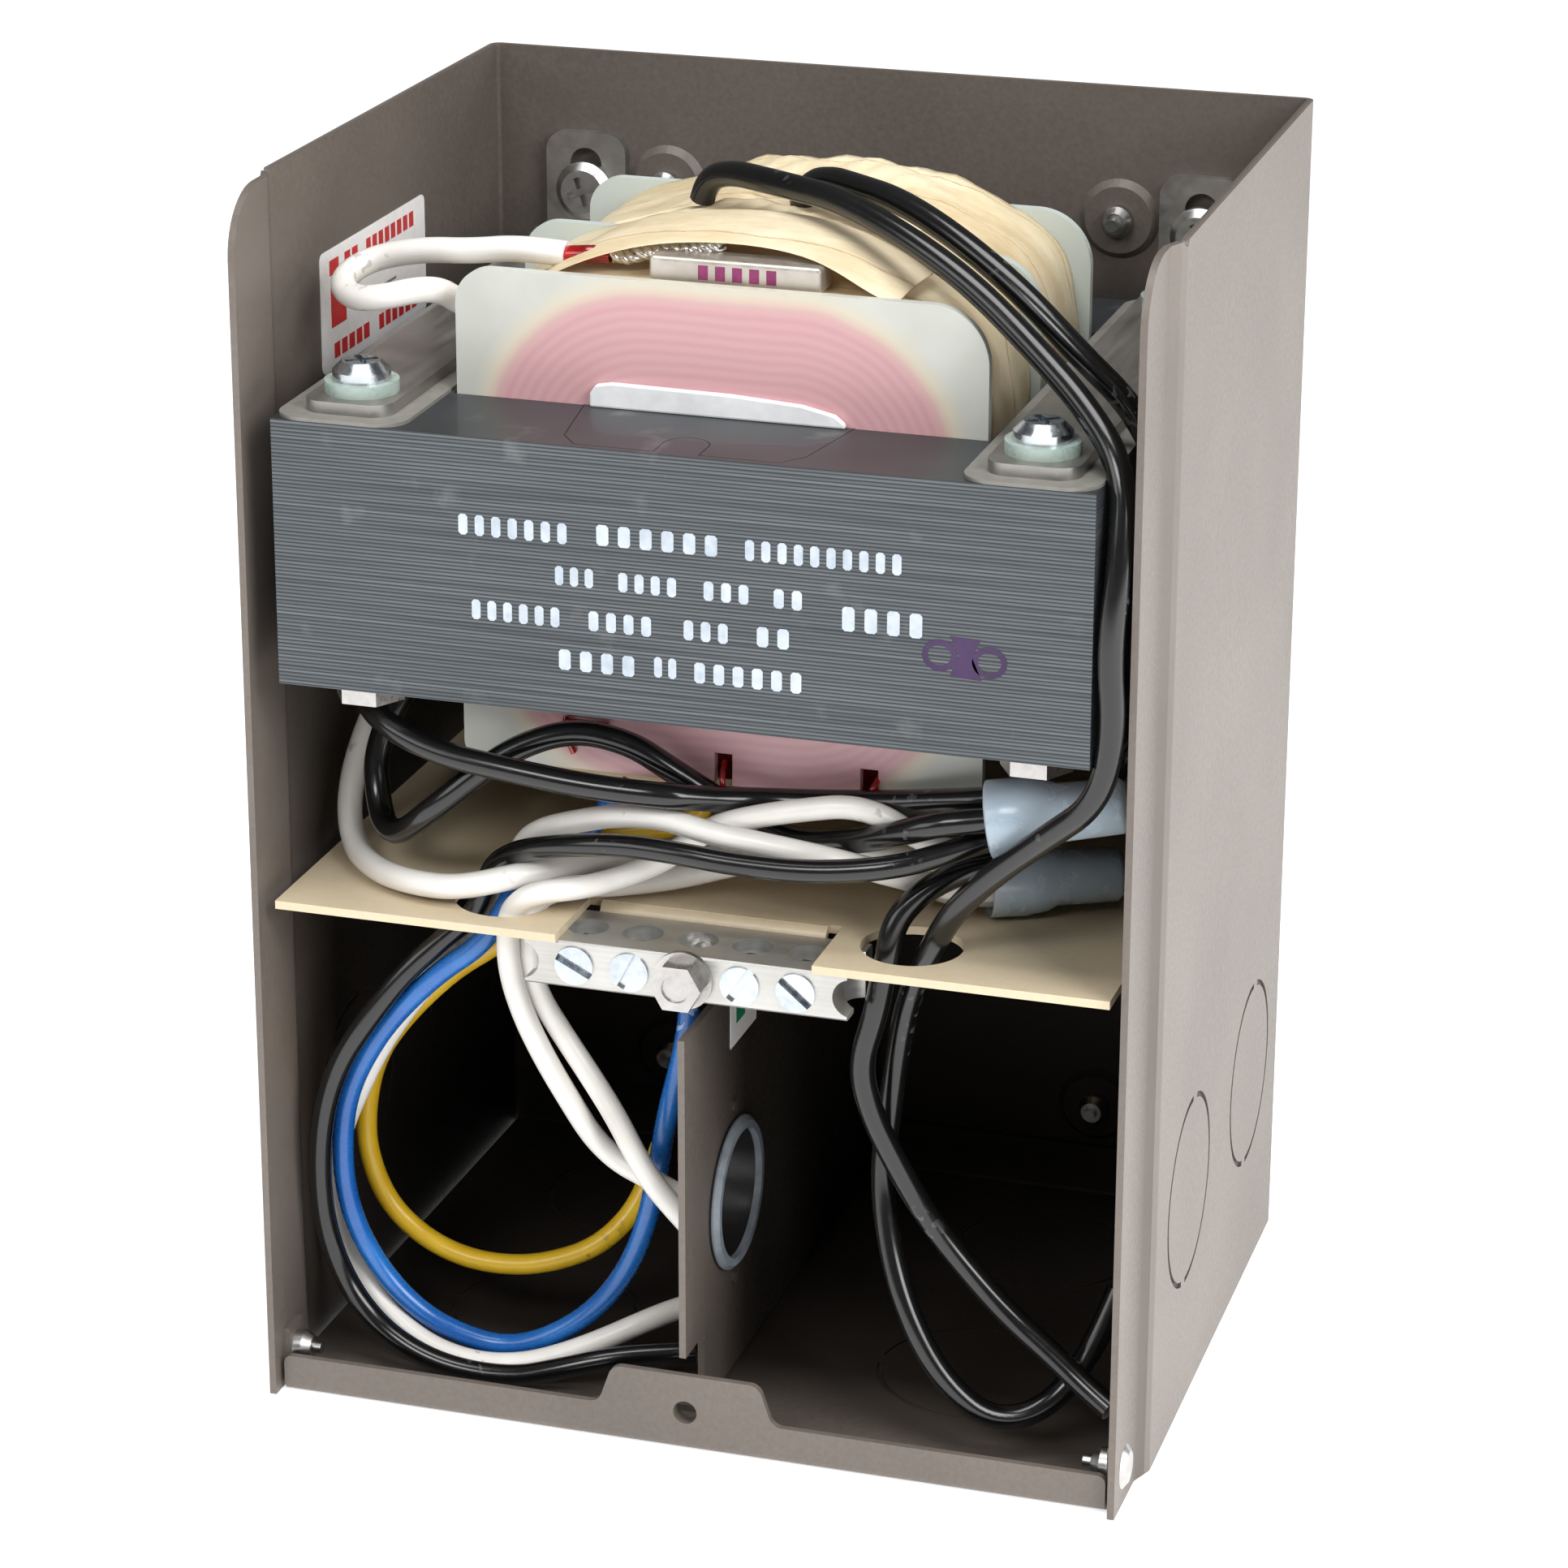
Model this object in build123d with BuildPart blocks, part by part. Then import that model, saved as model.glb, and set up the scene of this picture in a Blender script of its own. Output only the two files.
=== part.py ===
"""An open low voltage lighting transformer: a folded steel enclosure with its cover off, a laminated
transformer hung in the top, and a two-compartment wiring space below it.

Millimetres. +X is to the right seen from the open front, the front faces -Y, and +Z is up.
The origin is under the middle of the enclosure, on the surface that it stands on."""

from build123d import *
import os

os.makedirs("parts", exist_ok=True)

# Folded shell: one sheet that makes the back and both sides
SHEET = 1.0
SHELL_HEIGHT = 178.0
SHELL_DEPTH = 102.6
CORE_SIDE_GAP = 5.05
SIDE_SPLAY = 1.2
BACK_BEND_RADIUS = 1.6
JOGGLE_IN = 1.4
JOGGLE_RUN = 3.7
FLANGE_RUN = 11.9
FLANGE_CORNER_RADIUS = 9.0
JOGGLE_NOTCH = 1.6

# Knockouts: a sheared disc held by two small ties
KNOCKOUT_RADIUS = 14.2
KNOCKOUT_SLIT = 0.8
KNOCKOUT_TIE = 2.4
KNOCKOUT_TIE_TURN = 80.0
SIDE_KNOCKOUT_HEIGHT = 34.0
SIDE_KNOCKOUT_FROM_BACK = (65.5, 22.5)
FLOOR_KNOCKOUT_X = 33.3
FLOOR_KNOCKOUT_FROM_BACK = (67.0, 24.0)

# Bottom panel with its front lip
LIP_HEIGHT = 5.7
LIP_SETBACK = 1.6
LIP_END_GAP = 0.7
LIP_CORNER_RADIUS = 1.2
COVER_TAB_TOP_WIDTH = 21.8
COVER_TAB_BASE_WIDTH = 26.0
COVER_TAB_HEIGHT = 11.8
COVER_TAB_CORNER = 2.0
COVER_TAB_END_RADIUS = 0.01
COVER_HOLE_RADIUS = 1.75
COVER_HOLE_HEIGHT = 6.0
COVER_COLLAR_RADIUS = 2.9
COVER_COLLAR_LENGTH = 1.2
FLOOR_FLANGE_HEIGHT = 9.0
FLOOR_EDGE_GAP = 0.8
FLOOR_TAB_LENGTH = 5.0
FLOOR_TAB_ROOT = 0.5
FLOOR_TAB_RELIEF = 0.3
FLOOR_BEND_RADIUS = 1.5

# Rivets
RIVET_SHANK_RADIUS = 1.6
RIVET_HEAD_RADIUS = 3.2
RIVET_HEAD_HEIGHT = 0.9
RIVET_DOME_SHARE = 0.72
RIVET_BULB_RADIUS = 2.35
RIVET_BULB_LENGTH = 2.6
RIVET_STEM_RADIUS = 0.9
RIVET_STEM_LENGTH = 1.3
BACK_RIVET_SPACING = 70.0
BACK_RIVET_LOW = 15.9
BACK_RIVET_RISE = 142.4
DIMPLE_DEPTH = 1.1
DIMPLE_RADIUS = 5.0
DIMPLE_FLARE = 1.0
SIDE_RIVET_HEIGHT = 5.4

# Divider shelf between the transformer and the wiring space
DIVIDER_SHEET = 1.2
DIVIDER_TOP = 76.9
DIVIDER_SIDE_GAP = 1.9
DIVIDER_SETBACK = 1.5
DIVIDER_REAR_FLANGE = 12.0
DIVIDER_BEND_RADIUS = 1.8
WIRE_HOLE_RADIUS = 7.2
WIRE_HOLE_X = 29.6
WIRE_HOLE_SETBACK = 10.9
BAR_NOTCH_WIDTH = 37.0
FLAP_WIDTH = 33.0
FLAP_DROP = 9.1
RELIEF_LENGTH = 3.5

# Ground bar
BAR_LENGTH = 46.6
BAR_HEIGHT = 6.8
BAR_DEPTH = 12.3
BAR_SETBACK = 2.3
BAR_EDGE = 0.3
BAR_PITCH = 8.0
BAR_WIRE_HOLE_RADIUS = 2.9
BAR_SCREW_RADIUS = 2.8
BAR_SCREW_PROUD = 0.35
BAR_SCREW_SLOT = 1.1
BAR_SCREW_SLOT_DEPTH = 1.0
BAR_SCREW_TURNS = (-27.0, 63.0, 56.0, -40.0)
BAR_SCREW_TIP = 2.0
HEX_FLANGE_RADIUS = 4.2
HEX_FLANGE_HEIGHT = 0.8
HEX_ACROSS_FLATS = 6.35
HEX_HEAD_HEIGHT = 3.3
HEX_DIMPLE_RADIUS = 2.0
HEX_DIMPLE_DEPTH = 0.4
HEX_SHANK_RADIUS = 2.0
HEX_SHANK_PAST_FLAP = 1.0

# Partition and its wire bushing
PARTITION_SHEET = 1.0
PARTITION_FROM_MIDDLE = 0.7
PARTITION_SETBACK = 2.8
PARTITION_FRONT_HEIGHT = 62.7
PARTITION_NOTCH_HEIGHT = 13.9
PARTITION_NOTCH_DEPTH = 8.4
PARTITION_STEP_FROM_FRONT = 14.5
PARTITION_CORNER_CUT = 1.0
PARTITION_FLANGE = 9.0
PARTITION_BEND_RADIUS = 1.5
BUSHING_FROM_BACK = 78.0
BUSHING_HEIGHT = 30.2
BUSHING_HOLE_RADIUS = 9.5
BUSHING_FLANGE_RADIUS = 11.3
BUSHING_FLANGE = 1.4
BUSHING_WALL = 0.9
BUSHING_BARREL = 5.2
BUSHING_SNAP = 0.6
BUSHING_FIT = 0.05
TIE_NUB_RADIUS = 0.9
TIE_NUB_HEIGHT = 0.5
TIE_NUB_OFFSET = 13.6

# Laminated core, one closed frame with the centre leg pressed into it
CORE_WIDTH = 114.3
CORE_DEPTH = 95.25
CORE_STACK = 37.7
CORE_BOTTOM = 110.4
CORE_TO_WALL = 7.5
YOKE = 19.05
LEG_WIDTH = 38.1
LEG_HEAD_BRIDGE = 1.1
LEG_NECK_HALF = 16.8
LEG_HEAD_HALF = 14.2
LEG_HEAD_CHAMFER = 3.6
JOINT_GAP = 0.12
HOOK_WIDTH = 6.4
HOOK_DEPTH = 7.4
BOLT_INSET = 9.55

# Coil former and windings
BOBBIN_WALL = 1.4
BOBBIN_FLANGE = 1.5
BOBBIN_LEG_FIT = 0.25
FLANGE_END_FIT = 0.2
FLANGE_SIDE_FIT = 0.5
MIDDLE_FLANGE_SHARE = 0.5
FLANGE_RISE = 17.9
FLANGE_DROP = 15.2
FLANGE_TOP_LEFT_CORNER = 5.0
FLANGE_TOP_RIGHT_CORNER = 8.0
FLANGE_BOTTOM_CORNER = 2.5
LEAD_SLOT_WIDTH = 2.6
LEAD_SLOT_HEIGHT = 4.6
LEAD_SLOTS_X = (0.6, 21.6)
WINDING_BUILD = 13.0
WINDING_CORNER = 8.0
TAPE_BUILD = 2.6
TAPE_CORNER = 11.0
TAPE_CROWN = 3.4
CROWN_HALF = 13.0
CROWN_SETBACK = 9.5
WEDGE_LENGTH = 36.2
WEDGE_HEIGHT = 3.6
WEDGE_THICK = 0.9
CUTOFF_RADIUS = 1.9
CUTOFF_LENGTH = 13.0
CUTOFF_TIP_RADIUS = 1.0
CUTOFF_TIP = 2.4
CUTOFF_FROM_FLANGE = 4.2
CUTOFF_X = 1.0

# Strips, insulation plates and through bolts of the transformer
STRIP_WIDTH = 12.6
STRIP_THICK = 1.7
STRIP_SETBACK = 2.6
STRIP_CORNER = 3.0
STRIP_BEND_RADIUS = 3.0
STRIP_TAB_RISE = 17.6
STRIP_SLOT_WIDTH = 5.0
STRIP_SLOT_LENGTH = 9.5
STRIP_SLOT_RISE = 10.5
BRACKET_SCREW_RISE = 8.9
BRACKET_SCREW_RADIUS = 2.05
BRACKET_SCREW_HEAD = 4.4
BRACKET_SCREW_HEAD_HEIGHT = 2.2
BRACKET_SCREW_EDGE = 1.1
BRACKET_RECESS_TURN = 20.0
SCREW_FIT = 0.05
PLATE_THICK = 0.5
PLATE_INNER = 38.6
PLATE_CORNER = 4.0
CORE_BOLT_RADIUS = 2.05
BOLT_HOLE_RADIUS = 2.9
BOLT_HEAD_RADIUS = 4.0
BOLT_HEAD_HEIGHT = 2.6
BOLT_HEAD_EDGE = 1.3
BOLT_RECESS_TURN = 38.0
BOLT_RECESS_WIDTH = 1.0
BOLT_RECESS_LENGTH = 4.6
BOLT_RECESS_DEPTH = 1.3
SHOULDER_WASHER_RADIUS = 5.1
SHOULDER_WASHER_HEIGHT = 1.7
SHOULDER_RADIUS = 2.8
SHOULDER_LENGTH = 3.0
FLAT_WASHER_RADIUS = 5.0
FLAT_WASHER_THICK = 0.8
NUT_ACROSS_FLATS = 8.73
NUT_HEIGHT = 3.2
BOLT_PAST_NUT = 0.8

# Places worked out from the sizes above
back_y = (SHELL_DEPTH + HEX_FLANGE_HEIGHT + HEX_HEAD_HEIGHT - BAR_SETBACK) / 2
back_in = back_y - SHEET
back_width = CORE_WIDTH + 2 * (CORE_SIDE_GAP + SHEET)
tip_y = back_y - SHELL_DEPTH
joggle_y = tip_y + FLANGE_RUN
crease_y = joggle_y + JOGGLE_RUN
crease_x = back_width / 2 + SIDE_SPLAY
flange_x = crease_x - JOGGLE_IN
divider_half = flange_x - SHEET - DIVIDER_SIDE_GAP
core_back = back_in - CORE_TO_WALL
core_front = core_back - CORE_DEPTH
core_mid_y = (core_front + core_back) / 2
core_top = CORE_BOTTOM + CORE_STACK
core_mid_z = CORE_BOTTOM + CORE_STACK / 2
strip_tab_top = core_top + STRIP_TAB_RISE
strip_slot_z = core_top + STRIP_SLOT_RISE
bracket_screw_z = core_top + BRACKET_SCREW_RISE
window_depth = CORE_DEPTH - 2 * YOKE
window_front = core_front + YOKE
window_back = core_back - YOKE
window_outer = CORE_WIDTH / 2 - YOKE
bolt_x = CORE_WIDTH / 2 - BOLT_INSET
bolt_ys = (core_front + BOLT_INSET, core_back - BOLT_INSET)
bar_front = tip_y + BAR_SETBACK
bar_back = bar_front + BAR_DEPTH
bar_top = DIVIDER_TOP - DIVIDER_SHEET
bar_mid_z = bar_top - BAR_HEIGHT / 2
bar_hole_y = bar_front + BAR_DEPTH / 2
divider_front = tip_y + DIVIDER_SETBACK
lip_front = tip_y + LIP_SETBACK
bar_stations = [BAR_PITCH * i for i in range(-2, 3)]


def side_inner(y):
    """Half the clear width between the side walls at a place between the back and the crease."""
    share = (back_y - y) / (back_y - crease_y)
    return back_width / 2 + SIDE_SPLAY * share - SHEET


def finish(piece, name):
    """Labels a finished piece and writes its STEP file."""
    piece.part.label = name
    export_step(piece.part, "parts/" + name + ".step")


# Shell: plan outline swept up, then corners, notches, knockouts and dimples
with BuildPart() as shell:
    with BuildSketch(Plane.XY):
        with BuildLine():
            FilletPolyline(
                (-flange_x, tip_y),
                (-flange_x, joggle_y),
                (-crease_x, crease_y),
                (-back_width / 2, back_y),
                (back_width / 2, back_y),
                (crease_x, crease_y),
                (flange_x, joggle_y),
                (flange_x, tip_y),
                radius=BACK_BEND_RADIUS,
            )
            offset(amount=SHEET, side=Side.RIGHT)
        make_face()
    extrude(amount=SHELL_HEIGHT)
    # Rounded upper front corners of both flanges
    with BuildSketch(Plane.YZ):
        with BuildLine():
            Polyline(
                (tip_y + FLANGE_CORNER_RADIUS, SHELL_HEIGHT),
                (tip_y, SHELL_HEIGHT),
                (tip_y, SHELL_HEIGHT - FLANGE_CORNER_RADIUS),
            )
            RadiusArc(
                (tip_y, SHELL_HEIGHT - FLANGE_CORNER_RADIUS),
                (tip_y + FLANGE_CORNER_RADIUS, SHELL_HEIGHT),
                FLANGE_CORNER_RADIUS,
            )
        make_face()
    extrude(amount=crease_x, both=True, mode=Mode.SUBTRACT)
    # Small relief notch in the top edge where each side wall starts to step in
    with Locations((0, crease_y, SHELL_HEIGHT)):
        Cylinder(JOGGLE_NOTCH / 2, 2 * crease_x, rotation=(0, 90, 0), mode=Mode.SUBTRACT)
    # Sheared rings of the knockouts in the side walls
    for from_back in SIDE_KNOCKOUT_FROM_BACK:
        with BuildSketch(Plane.YZ):
            with Locations((back_y - from_back, SIDE_KNOCKOUT_HEIGHT)):
                Circle(KNOCKOUT_RADIUS)
                Circle(KNOCKOUT_RADIUS - KNOCKOUT_SLIT, mode=Mode.SUBTRACT)
                Rectangle(
                    2 * KNOCKOUT_RADIUS + KNOCKOUT_TIE,
                    KNOCKOUT_TIE,
                    rotation=KNOCKOUT_TIE_TURN,
                    mode=Mode.SUBTRACT,
                )
        extrude(amount=crease_x + SHEET, both=True, mode=Mode.SUBTRACT)
    # Dimples and holes for the rivets in the back
    for x in (-BACK_RIVET_SPACING / 2, BACK_RIVET_SPACING / 2):
        for z in (BACK_RIVET_LOW, BACK_RIVET_LOW + BACK_RIVET_RISE):
            with Locations(Plane((x, back_in - DIMPLE_DEPTH / 2, z), z_dir=(0, 1, 0))):
                Cone(DIMPLE_RADIUS, DIMPLE_RADIUS + DIMPLE_FLARE, DIMPLE_DEPTH)
            with Locations(Plane((x, back_y - DIMPLE_DEPTH / 2, z), z_dir=(0, 1, 0))):
                Cone(
                    DIMPLE_RADIUS - SHEET / 2,
                    DIMPLE_RADIUS + DIMPLE_FLARE - SHEET / 2,
                    DIMPLE_DEPTH,
                    mode=Mode.SUBTRACT,
                )
            with Locations(Plane((x, back_in, z), z_dir=(0, 1, 0))):
                Cylinder(RIVET_SHANK_RADIUS, 4 * DIMPLE_DEPTH, mode=Mode.SUBTRACT)
    # Holes that take the two bracket screws, and the two rivets near the floor
    for x in (-bolt_x, bolt_x):
        with Locations(Plane((x, back_in, bracket_screw_z), z_dir=(0, 1, 0))):
            Cylinder(BRACKET_SCREW_RADIUS + SCREW_FIT, 4 * SHEET, mode=Mode.SUBTRACT)
    with Locations(Plane((0, joggle_y - FLANGE_RUN / 2, SIDE_RIVET_HEIGHT), z_dir=(1, 0, 0))):
        Cylinder(RIVET_SHANK_RADIUS, 2 * crease_x, mode=Mode.SUBTRACT)
finish(shell, "enclosure_shell")


def facing_front(y):
    """A plane across the enclosure, its own X to the right and its own Y up."""
    return Plane((0, y, 0), x_dir=(1, 0, 0), z_dir=(0, -1, 0))


def facing_right(x):
    """A plane from front to back, its own X to the back and its own Y up."""
    return Plane((x, 0, 0), x_dir=(0, 1, 0), z_dir=(1, 0, 0))


# Bottom panel: floor, rear flange, front lip and two side tabs, folded from one sheet
lip_half = flange_x - SHEET - LIP_END_GAP
tab_root = flange_x - SHEET - FLOOR_BEND_RADIUS - FLOOR_TAB_ROOT
tab_mid_y = joggle_y - FLANGE_RUN / 2
with BuildPart() as side_tab:
    with BuildSketch(facing_front(tab_mid_y + FLOOR_TAB_LENGTH / 2)):
        with BuildLine():
            FilletPolyline(
                (tab_root, 0),
                (flange_x - SHEET, 0),
                (flange_x - SHEET, FLOOR_FLANGE_HEIGHT),
                radius=FLOOR_BEND_RADIUS,
            )
            offset(amount=SHEET, side=Side.LEFT)
        make_face()
    extrude(amount=FLOOR_TAB_LENGTH)

with BuildPart() as panel:
    with BuildSketch(facing_right(-crease_x)):
        with BuildLine():
            FilletPolyline(
                (lip_front, LIP_HEIGHT),
                (lip_front, 0),
                (back_in, 0),
                (back_in, FLOOR_FLANGE_HEIGHT),
                radius=FLOOR_BEND_RADIUS,
            )
            offset(amount=SHEET, side=Side.LEFT)
        make_face()
    extrude(amount=2 * crease_x)
    # Plan outline that clears the stepped side walls
    with BuildSketch(Plane.XY):
        with BuildLine():
            Polyline(
                (-lip_half, lip_front),
                (-lip_half, joggle_y),
                (-side_inner(crease_y) + FLOOR_EDGE_GAP, crease_y),
                (-side_inner(back_in) + FLOOR_EDGE_GAP, back_in),
                (side_inner(back_in) - FLOOR_EDGE_GAP, back_in),
                (side_inner(crease_y) - FLOOR_EDGE_GAP, crease_y),
                (lip_half, joggle_y),
                (lip_half, lip_front),
                close=True,
            )
        make_face()
        with Locations((-flange_x, tab_mid_y), (flange_x, tab_mid_y)):
            Rectangle(
                2 * (flange_x - tab_root), FLOOR_TAB_LENGTH + 2 * FLOOR_TAB_RELIEF, mode=Mode.SUBTRACT
            )
    extrude(amount=FLOOR_FLANGE_HEIGHT, mode=Mode.INTERSECT)
    # Side tabs that the front rivets hold
    add(side_tab.part)
    add(mirror(side_tab.part, about=Plane.YZ))
    # Rounded upper corners at the ends of the lip
    lip_ends = panel.edges().filter_by(Axis.Y).group_by(Axis.Y)[0].group_by(Axis.Z)[-1]
    fillet(lip_ends, LIP_CORNER_RADIUS)
    # Tab in the middle of the lip that takes the cover screw
    with BuildSketch(facing_front(lip_front)):
        with BuildLine():
            FilletPolyline(
                (-COVER_TAB_BASE_WIDTH / 2 - COVER_TAB_CORNER * 2, FLOOR_BEND_RADIUS),
                (-COVER_TAB_BASE_WIDTH / 2 - COVER_TAB_CORNER * 2, LIP_HEIGHT),
                (-COVER_TAB_BASE_WIDTH / 2, LIP_HEIGHT),
                (-COVER_TAB_TOP_WIDTH / 2, COVER_TAB_HEIGHT),
                (COVER_TAB_TOP_WIDTH / 2, COVER_TAB_HEIGHT),
                (COVER_TAB_BASE_WIDTH / 2, LIP_HEIGHT),
                (COVER_TAB_BASE_WIDTH / 2 + COVER_TAB_CORNER * 2, LIP_HEIGHT),
                (COVER_TAB_BASE_WIDTH / 2 + COVER_TAB_CORNER * 2, FLOOR_BEND_RADIUS),
                radius=[
                    COVER_TAB_END_RADIUS,
                    COVER_TAB_CORNER,
                    COVER_TAB_CORNER,
                    COVER_TAB_CORNER,
                    COVER_TAB_CORNER,
                    COVER_TAB_END_RADIUS,
                ],
            )
            Line(
                (COVER_TAB_BASE_WIDTH / 2 + COVER_TAB_CORNER * 2, FLOOR_BEND_RADIUS),
                (-COVER_TAB_BASE_WIDTH / 2 - COVER_TAB_CORNER * 2, FLOOR_BEND_RADIUS),
            )
        make_face()
    extrude(amount=-SHEET)
    # Extruded and tapped hole of the cover screw
    with BuildSketch(facing_front(lip_front + SHEET)):
        with Locations((0, COVER_HOLE_HEIGHT)):
            Circle(COVER_COLLAR_RADIUS)
    extrude(amount=-COVER_COLLAR_LENGTH)
    with BuildSketch(facing_front(lip_front)):
        with Locations((0, COVER_HOLE_HEIGHT)):
            Circle(COVER_HOLE_RADIUS)
    extrude(amount=-SHEET - COVER_COLLAR_LENGTH, mode=Mode.SUBTRACT)
    with Locations(Plane((0, joggle_y - FLANGE_RUN / 2, SIDE_RIVET_HEIGHT), z_dir=(1, 0, 0))):
        Cylinder(RIVET_SHANK_RADIUS, 2 * crease_x, mode=Mode.SUBTRACT)
    # Sheared rings of the knockouts in the floor
    for x in (-FLOOR_KNOCKOUT_X, FLOOR_KNOCKOUT_X):
        for from_back in FLOOR_KNOCKOUT_FROM_BACK:
            with BuildSketch(Plane.XY):
                with Locations((x, back_y - from_back)):
                    Circle(KNOCKOUT_RADIUS)
                    Circle(KNOCKOUT_RADIUS - KNOCKOUT_SLIT, mode=Mode.SUBTRACT)
                    Rectangle(2 * KNOCKOUT_RADIUS + KNOCKOUT_TIE, KNOCKOUT_TIE, mode=Mode.SUBTRACT)
            extrude(amount=SHEET, mode=Mode.SUBTRACT)
finish(panel, "bottom_panel")


# Rivets of the back wall and of the floor tabs
def blind_rivet(grip):
    """A blind rivet on its own Z axis: head above the origin, set end below the gripped sheets."""
    with BuildPart() as rivet:
        with BuildSketch(Plane.XZ):
            with BuildLine():
                Polyline(
                    (0, -grip - RIVET_BULB_LENGTH - RIVET_STEM_LENGTH),
                    (RIVET_STEM_RADIUS, -grip - RIVET_BULB_LENGTH - RIVET_STEM_LENGTH),
                    (RIVET_STEM_RADIUS, -grip - RIVET_BULB_LENGTH),
                    (RIVET_SHANK_RADIUS, -grip - RIVET_BULB_LENGTH),
                    (RIVET_BULB_RADIUS, -grip - RIVET_BULB_LENGTH / 2),
                    (RIVET_BULB_RADIUS, -grip),
                    (RIVET_SHANK_RADIUS, -grip),
                    (RIVET_SHANK_RADIUS, 0),
                    (RIVET_HEAD_RADIUS, 0),
                    (RIVET_HEAD_RADIUS * RIVET_DOME_SHARE, RIVET_HEAD_HEIGHT * RIVET_DOME_SHARE),
                    (0, RIVET_HEAD_HEIGHT),
                )
                Line((0, RIVET_HEAD_HEIGHT), (0, -grip - RIVET_BULB_LENGTH - RIVET_STEM_LENGTH))
            make_face()
        revolve(axis=Axis.Z)
    return rivet.part


wall_rivet = blind_rivet(SHEET)
tab_rivet = blind_rivet(2 * SHEET)
with BuildPart() as wall_rivets:
    for x in (-BACK_RIVET_SPACING / 2, BACK_RIVET_SPACING / 2):
        for z in (BACK_RIVET_LOW, BACK_RIVET_LOW + BACK_RIVET_RISE):
            with Locations(Plane((x, back_y - DIMPLE_DEPTH, z), z_dir=(0, 1, 0))):
                add(wall_rivet)
finish(wall_rivets, "wall_rivets")

with BuildPart() as panel_rivets:
    for side in (-1, 1):
        with Locations(
            Plane((side * flange_x, joggle_y - FLANGE_RUN / 2, SIDE_RIVET_HEIGHT), z_dir=(side, 0, 0))
        ):
            add(tab_rivet)
finish(panel_rivets, "panel_rivets")

# Divider shelf with a notch and a folded flap for the ground bar
with BuildPart() as divider:
    with BuildSketch(facing_right(-divider_half)):
        with BuildLine():
            FilletPolyline(
                (divider_front, DIVIDER_TOP),
                (back_in, DIVIDER_TOP),
                (back_in, DIVIDER_TOP - DIVIDER_REAR_FLANGE),
                radius=DIVIDER_BEND_RADIUS,
            )
            offset(amount=DIVIDER_SHEET, side=Side.RIGHT)
        make_face()
    extrude(amount=2 * divider_half)
    with BuildSketch(Plane.XY.offset(DIVIDER_TOP)):
        with BuildLine():
            Polyline(
                (-BAR_NOTCH_WIDTH / 2, divider_front),
                (-BAR_NOTCH_WIDTH / 2, bar_back + DIVIDER_SHEET),
                (BAR_NOTCH_WIDTH / 2, bar_back + DIVIDER_SHEET),
                (BAR_NOTCH_WIDTH / 2, divider_front),
                close=True,
            )
        make_face()
        with Locations(
            (-(BAR_NOTCH_WIDTH + FLAP_WIDTH) / 4, bar_back),
            ((BAR_NOTCH_WIDTH + FLAP_WIDTH) / 4, bar_back),
        ):
            Rectangle((BAR_NOTCH_WIDTH - FLAP_WIDTH) / 2, RELIEF_LENGTH)
        with Locations(
            (-WIRE_HOLE_X, divider_front + WIRE_HOLE_SETBACK),
            (WIRE_HOLE_X, divider_front + WIRE_HOLE_SETBACK),
        ):
            Circle(WIRE_HOLE_RADIUS)
    extrude(amount=-DIVIDER_SHEET, mode=Mode.SUBTRACT)
    with BuildSketch(facing_right(-FLAP_WIDTH / 2)):
        with BuildLine():
            FilletPolyline(
                (bar_back + 2 * DIVIDER_BEND_RADIUS, DIVIDER_TOP),
                (bar_back, DIVIDER_TOP),
                (bar_back, DIVIDER_TOP - FLAP_DROP),
                radius=DIVIDER_BEND_RADIUS,
            )
            offset(amount=DIVIDER_SHEET, side=Side.LEFT)
        make_face()
    extrude(amount=FLAP_WIDTH)
    with Locations(Plane((0, bar_back, bar_mid_z), z_dir=(0, 1, 0))):
        Cylinder(HEX_SHANK_RADIUS, 4 * DIVIDER_SHEET, mode=Mode.SUBTRACT)
finish(divider, "divider_plate")

# Ground bar with its wire holes and cross-tapped screw holes
with BuildPart() as bar:
    with Locations((0, bar_front + BAR_DEPTH / 2, bar_mid_z)):
        Box(BAR_LENGTH, BAR_DEPTH, BAR_HEIGHT)
    chamfer(bar.edges().filter_by(Axis.X), BAR_EDGE)
    with Locations(*[(x, bar_hole_y, bar_mid_z) for x in bar_stations]):
        Cylinder(BAR_WIRE_HOLE_RADIUS, BAR_HEIGHT, mode=Mode.SUBTRACT)
    for side in (-1, 1):
        with Locations((side * 3 * BAR_PITCH, bar_hole_y, bar_mid_z)):
            Cylinder(BAR_WIRE_HOLE_RADIUS, BAR_HEIGHT, mode=Mode.SUBTRACT)
    with BuildSketch(facing_front(bar_front)):
        with Locations(*[(x, bar_mid_z) for x in bar_stations if x != 0]):
            Circle(BAR_SCREW_RADIUS)
        with Locations((-3 * BAR_PITCH, bar_mid_z), (3 * BAR_PITCH, bar_mid_z)):
            Circle(BAR_SCREW_RADIUS)
    extrude(amount=-(BAR_DEPTH / 2), mode=Mode.SUBTRACT)
    with Locations(Plane((0, bar_front + BAR_DEPTH / 2, bar_mid_z), z_dir=(0, 1, 0))):
        Cylinder(HEX_SHANK_RADIUS, BAR_DEPTH, mode=Mode.SUBTRACT)
finish(bar, "ground_bar")

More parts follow.
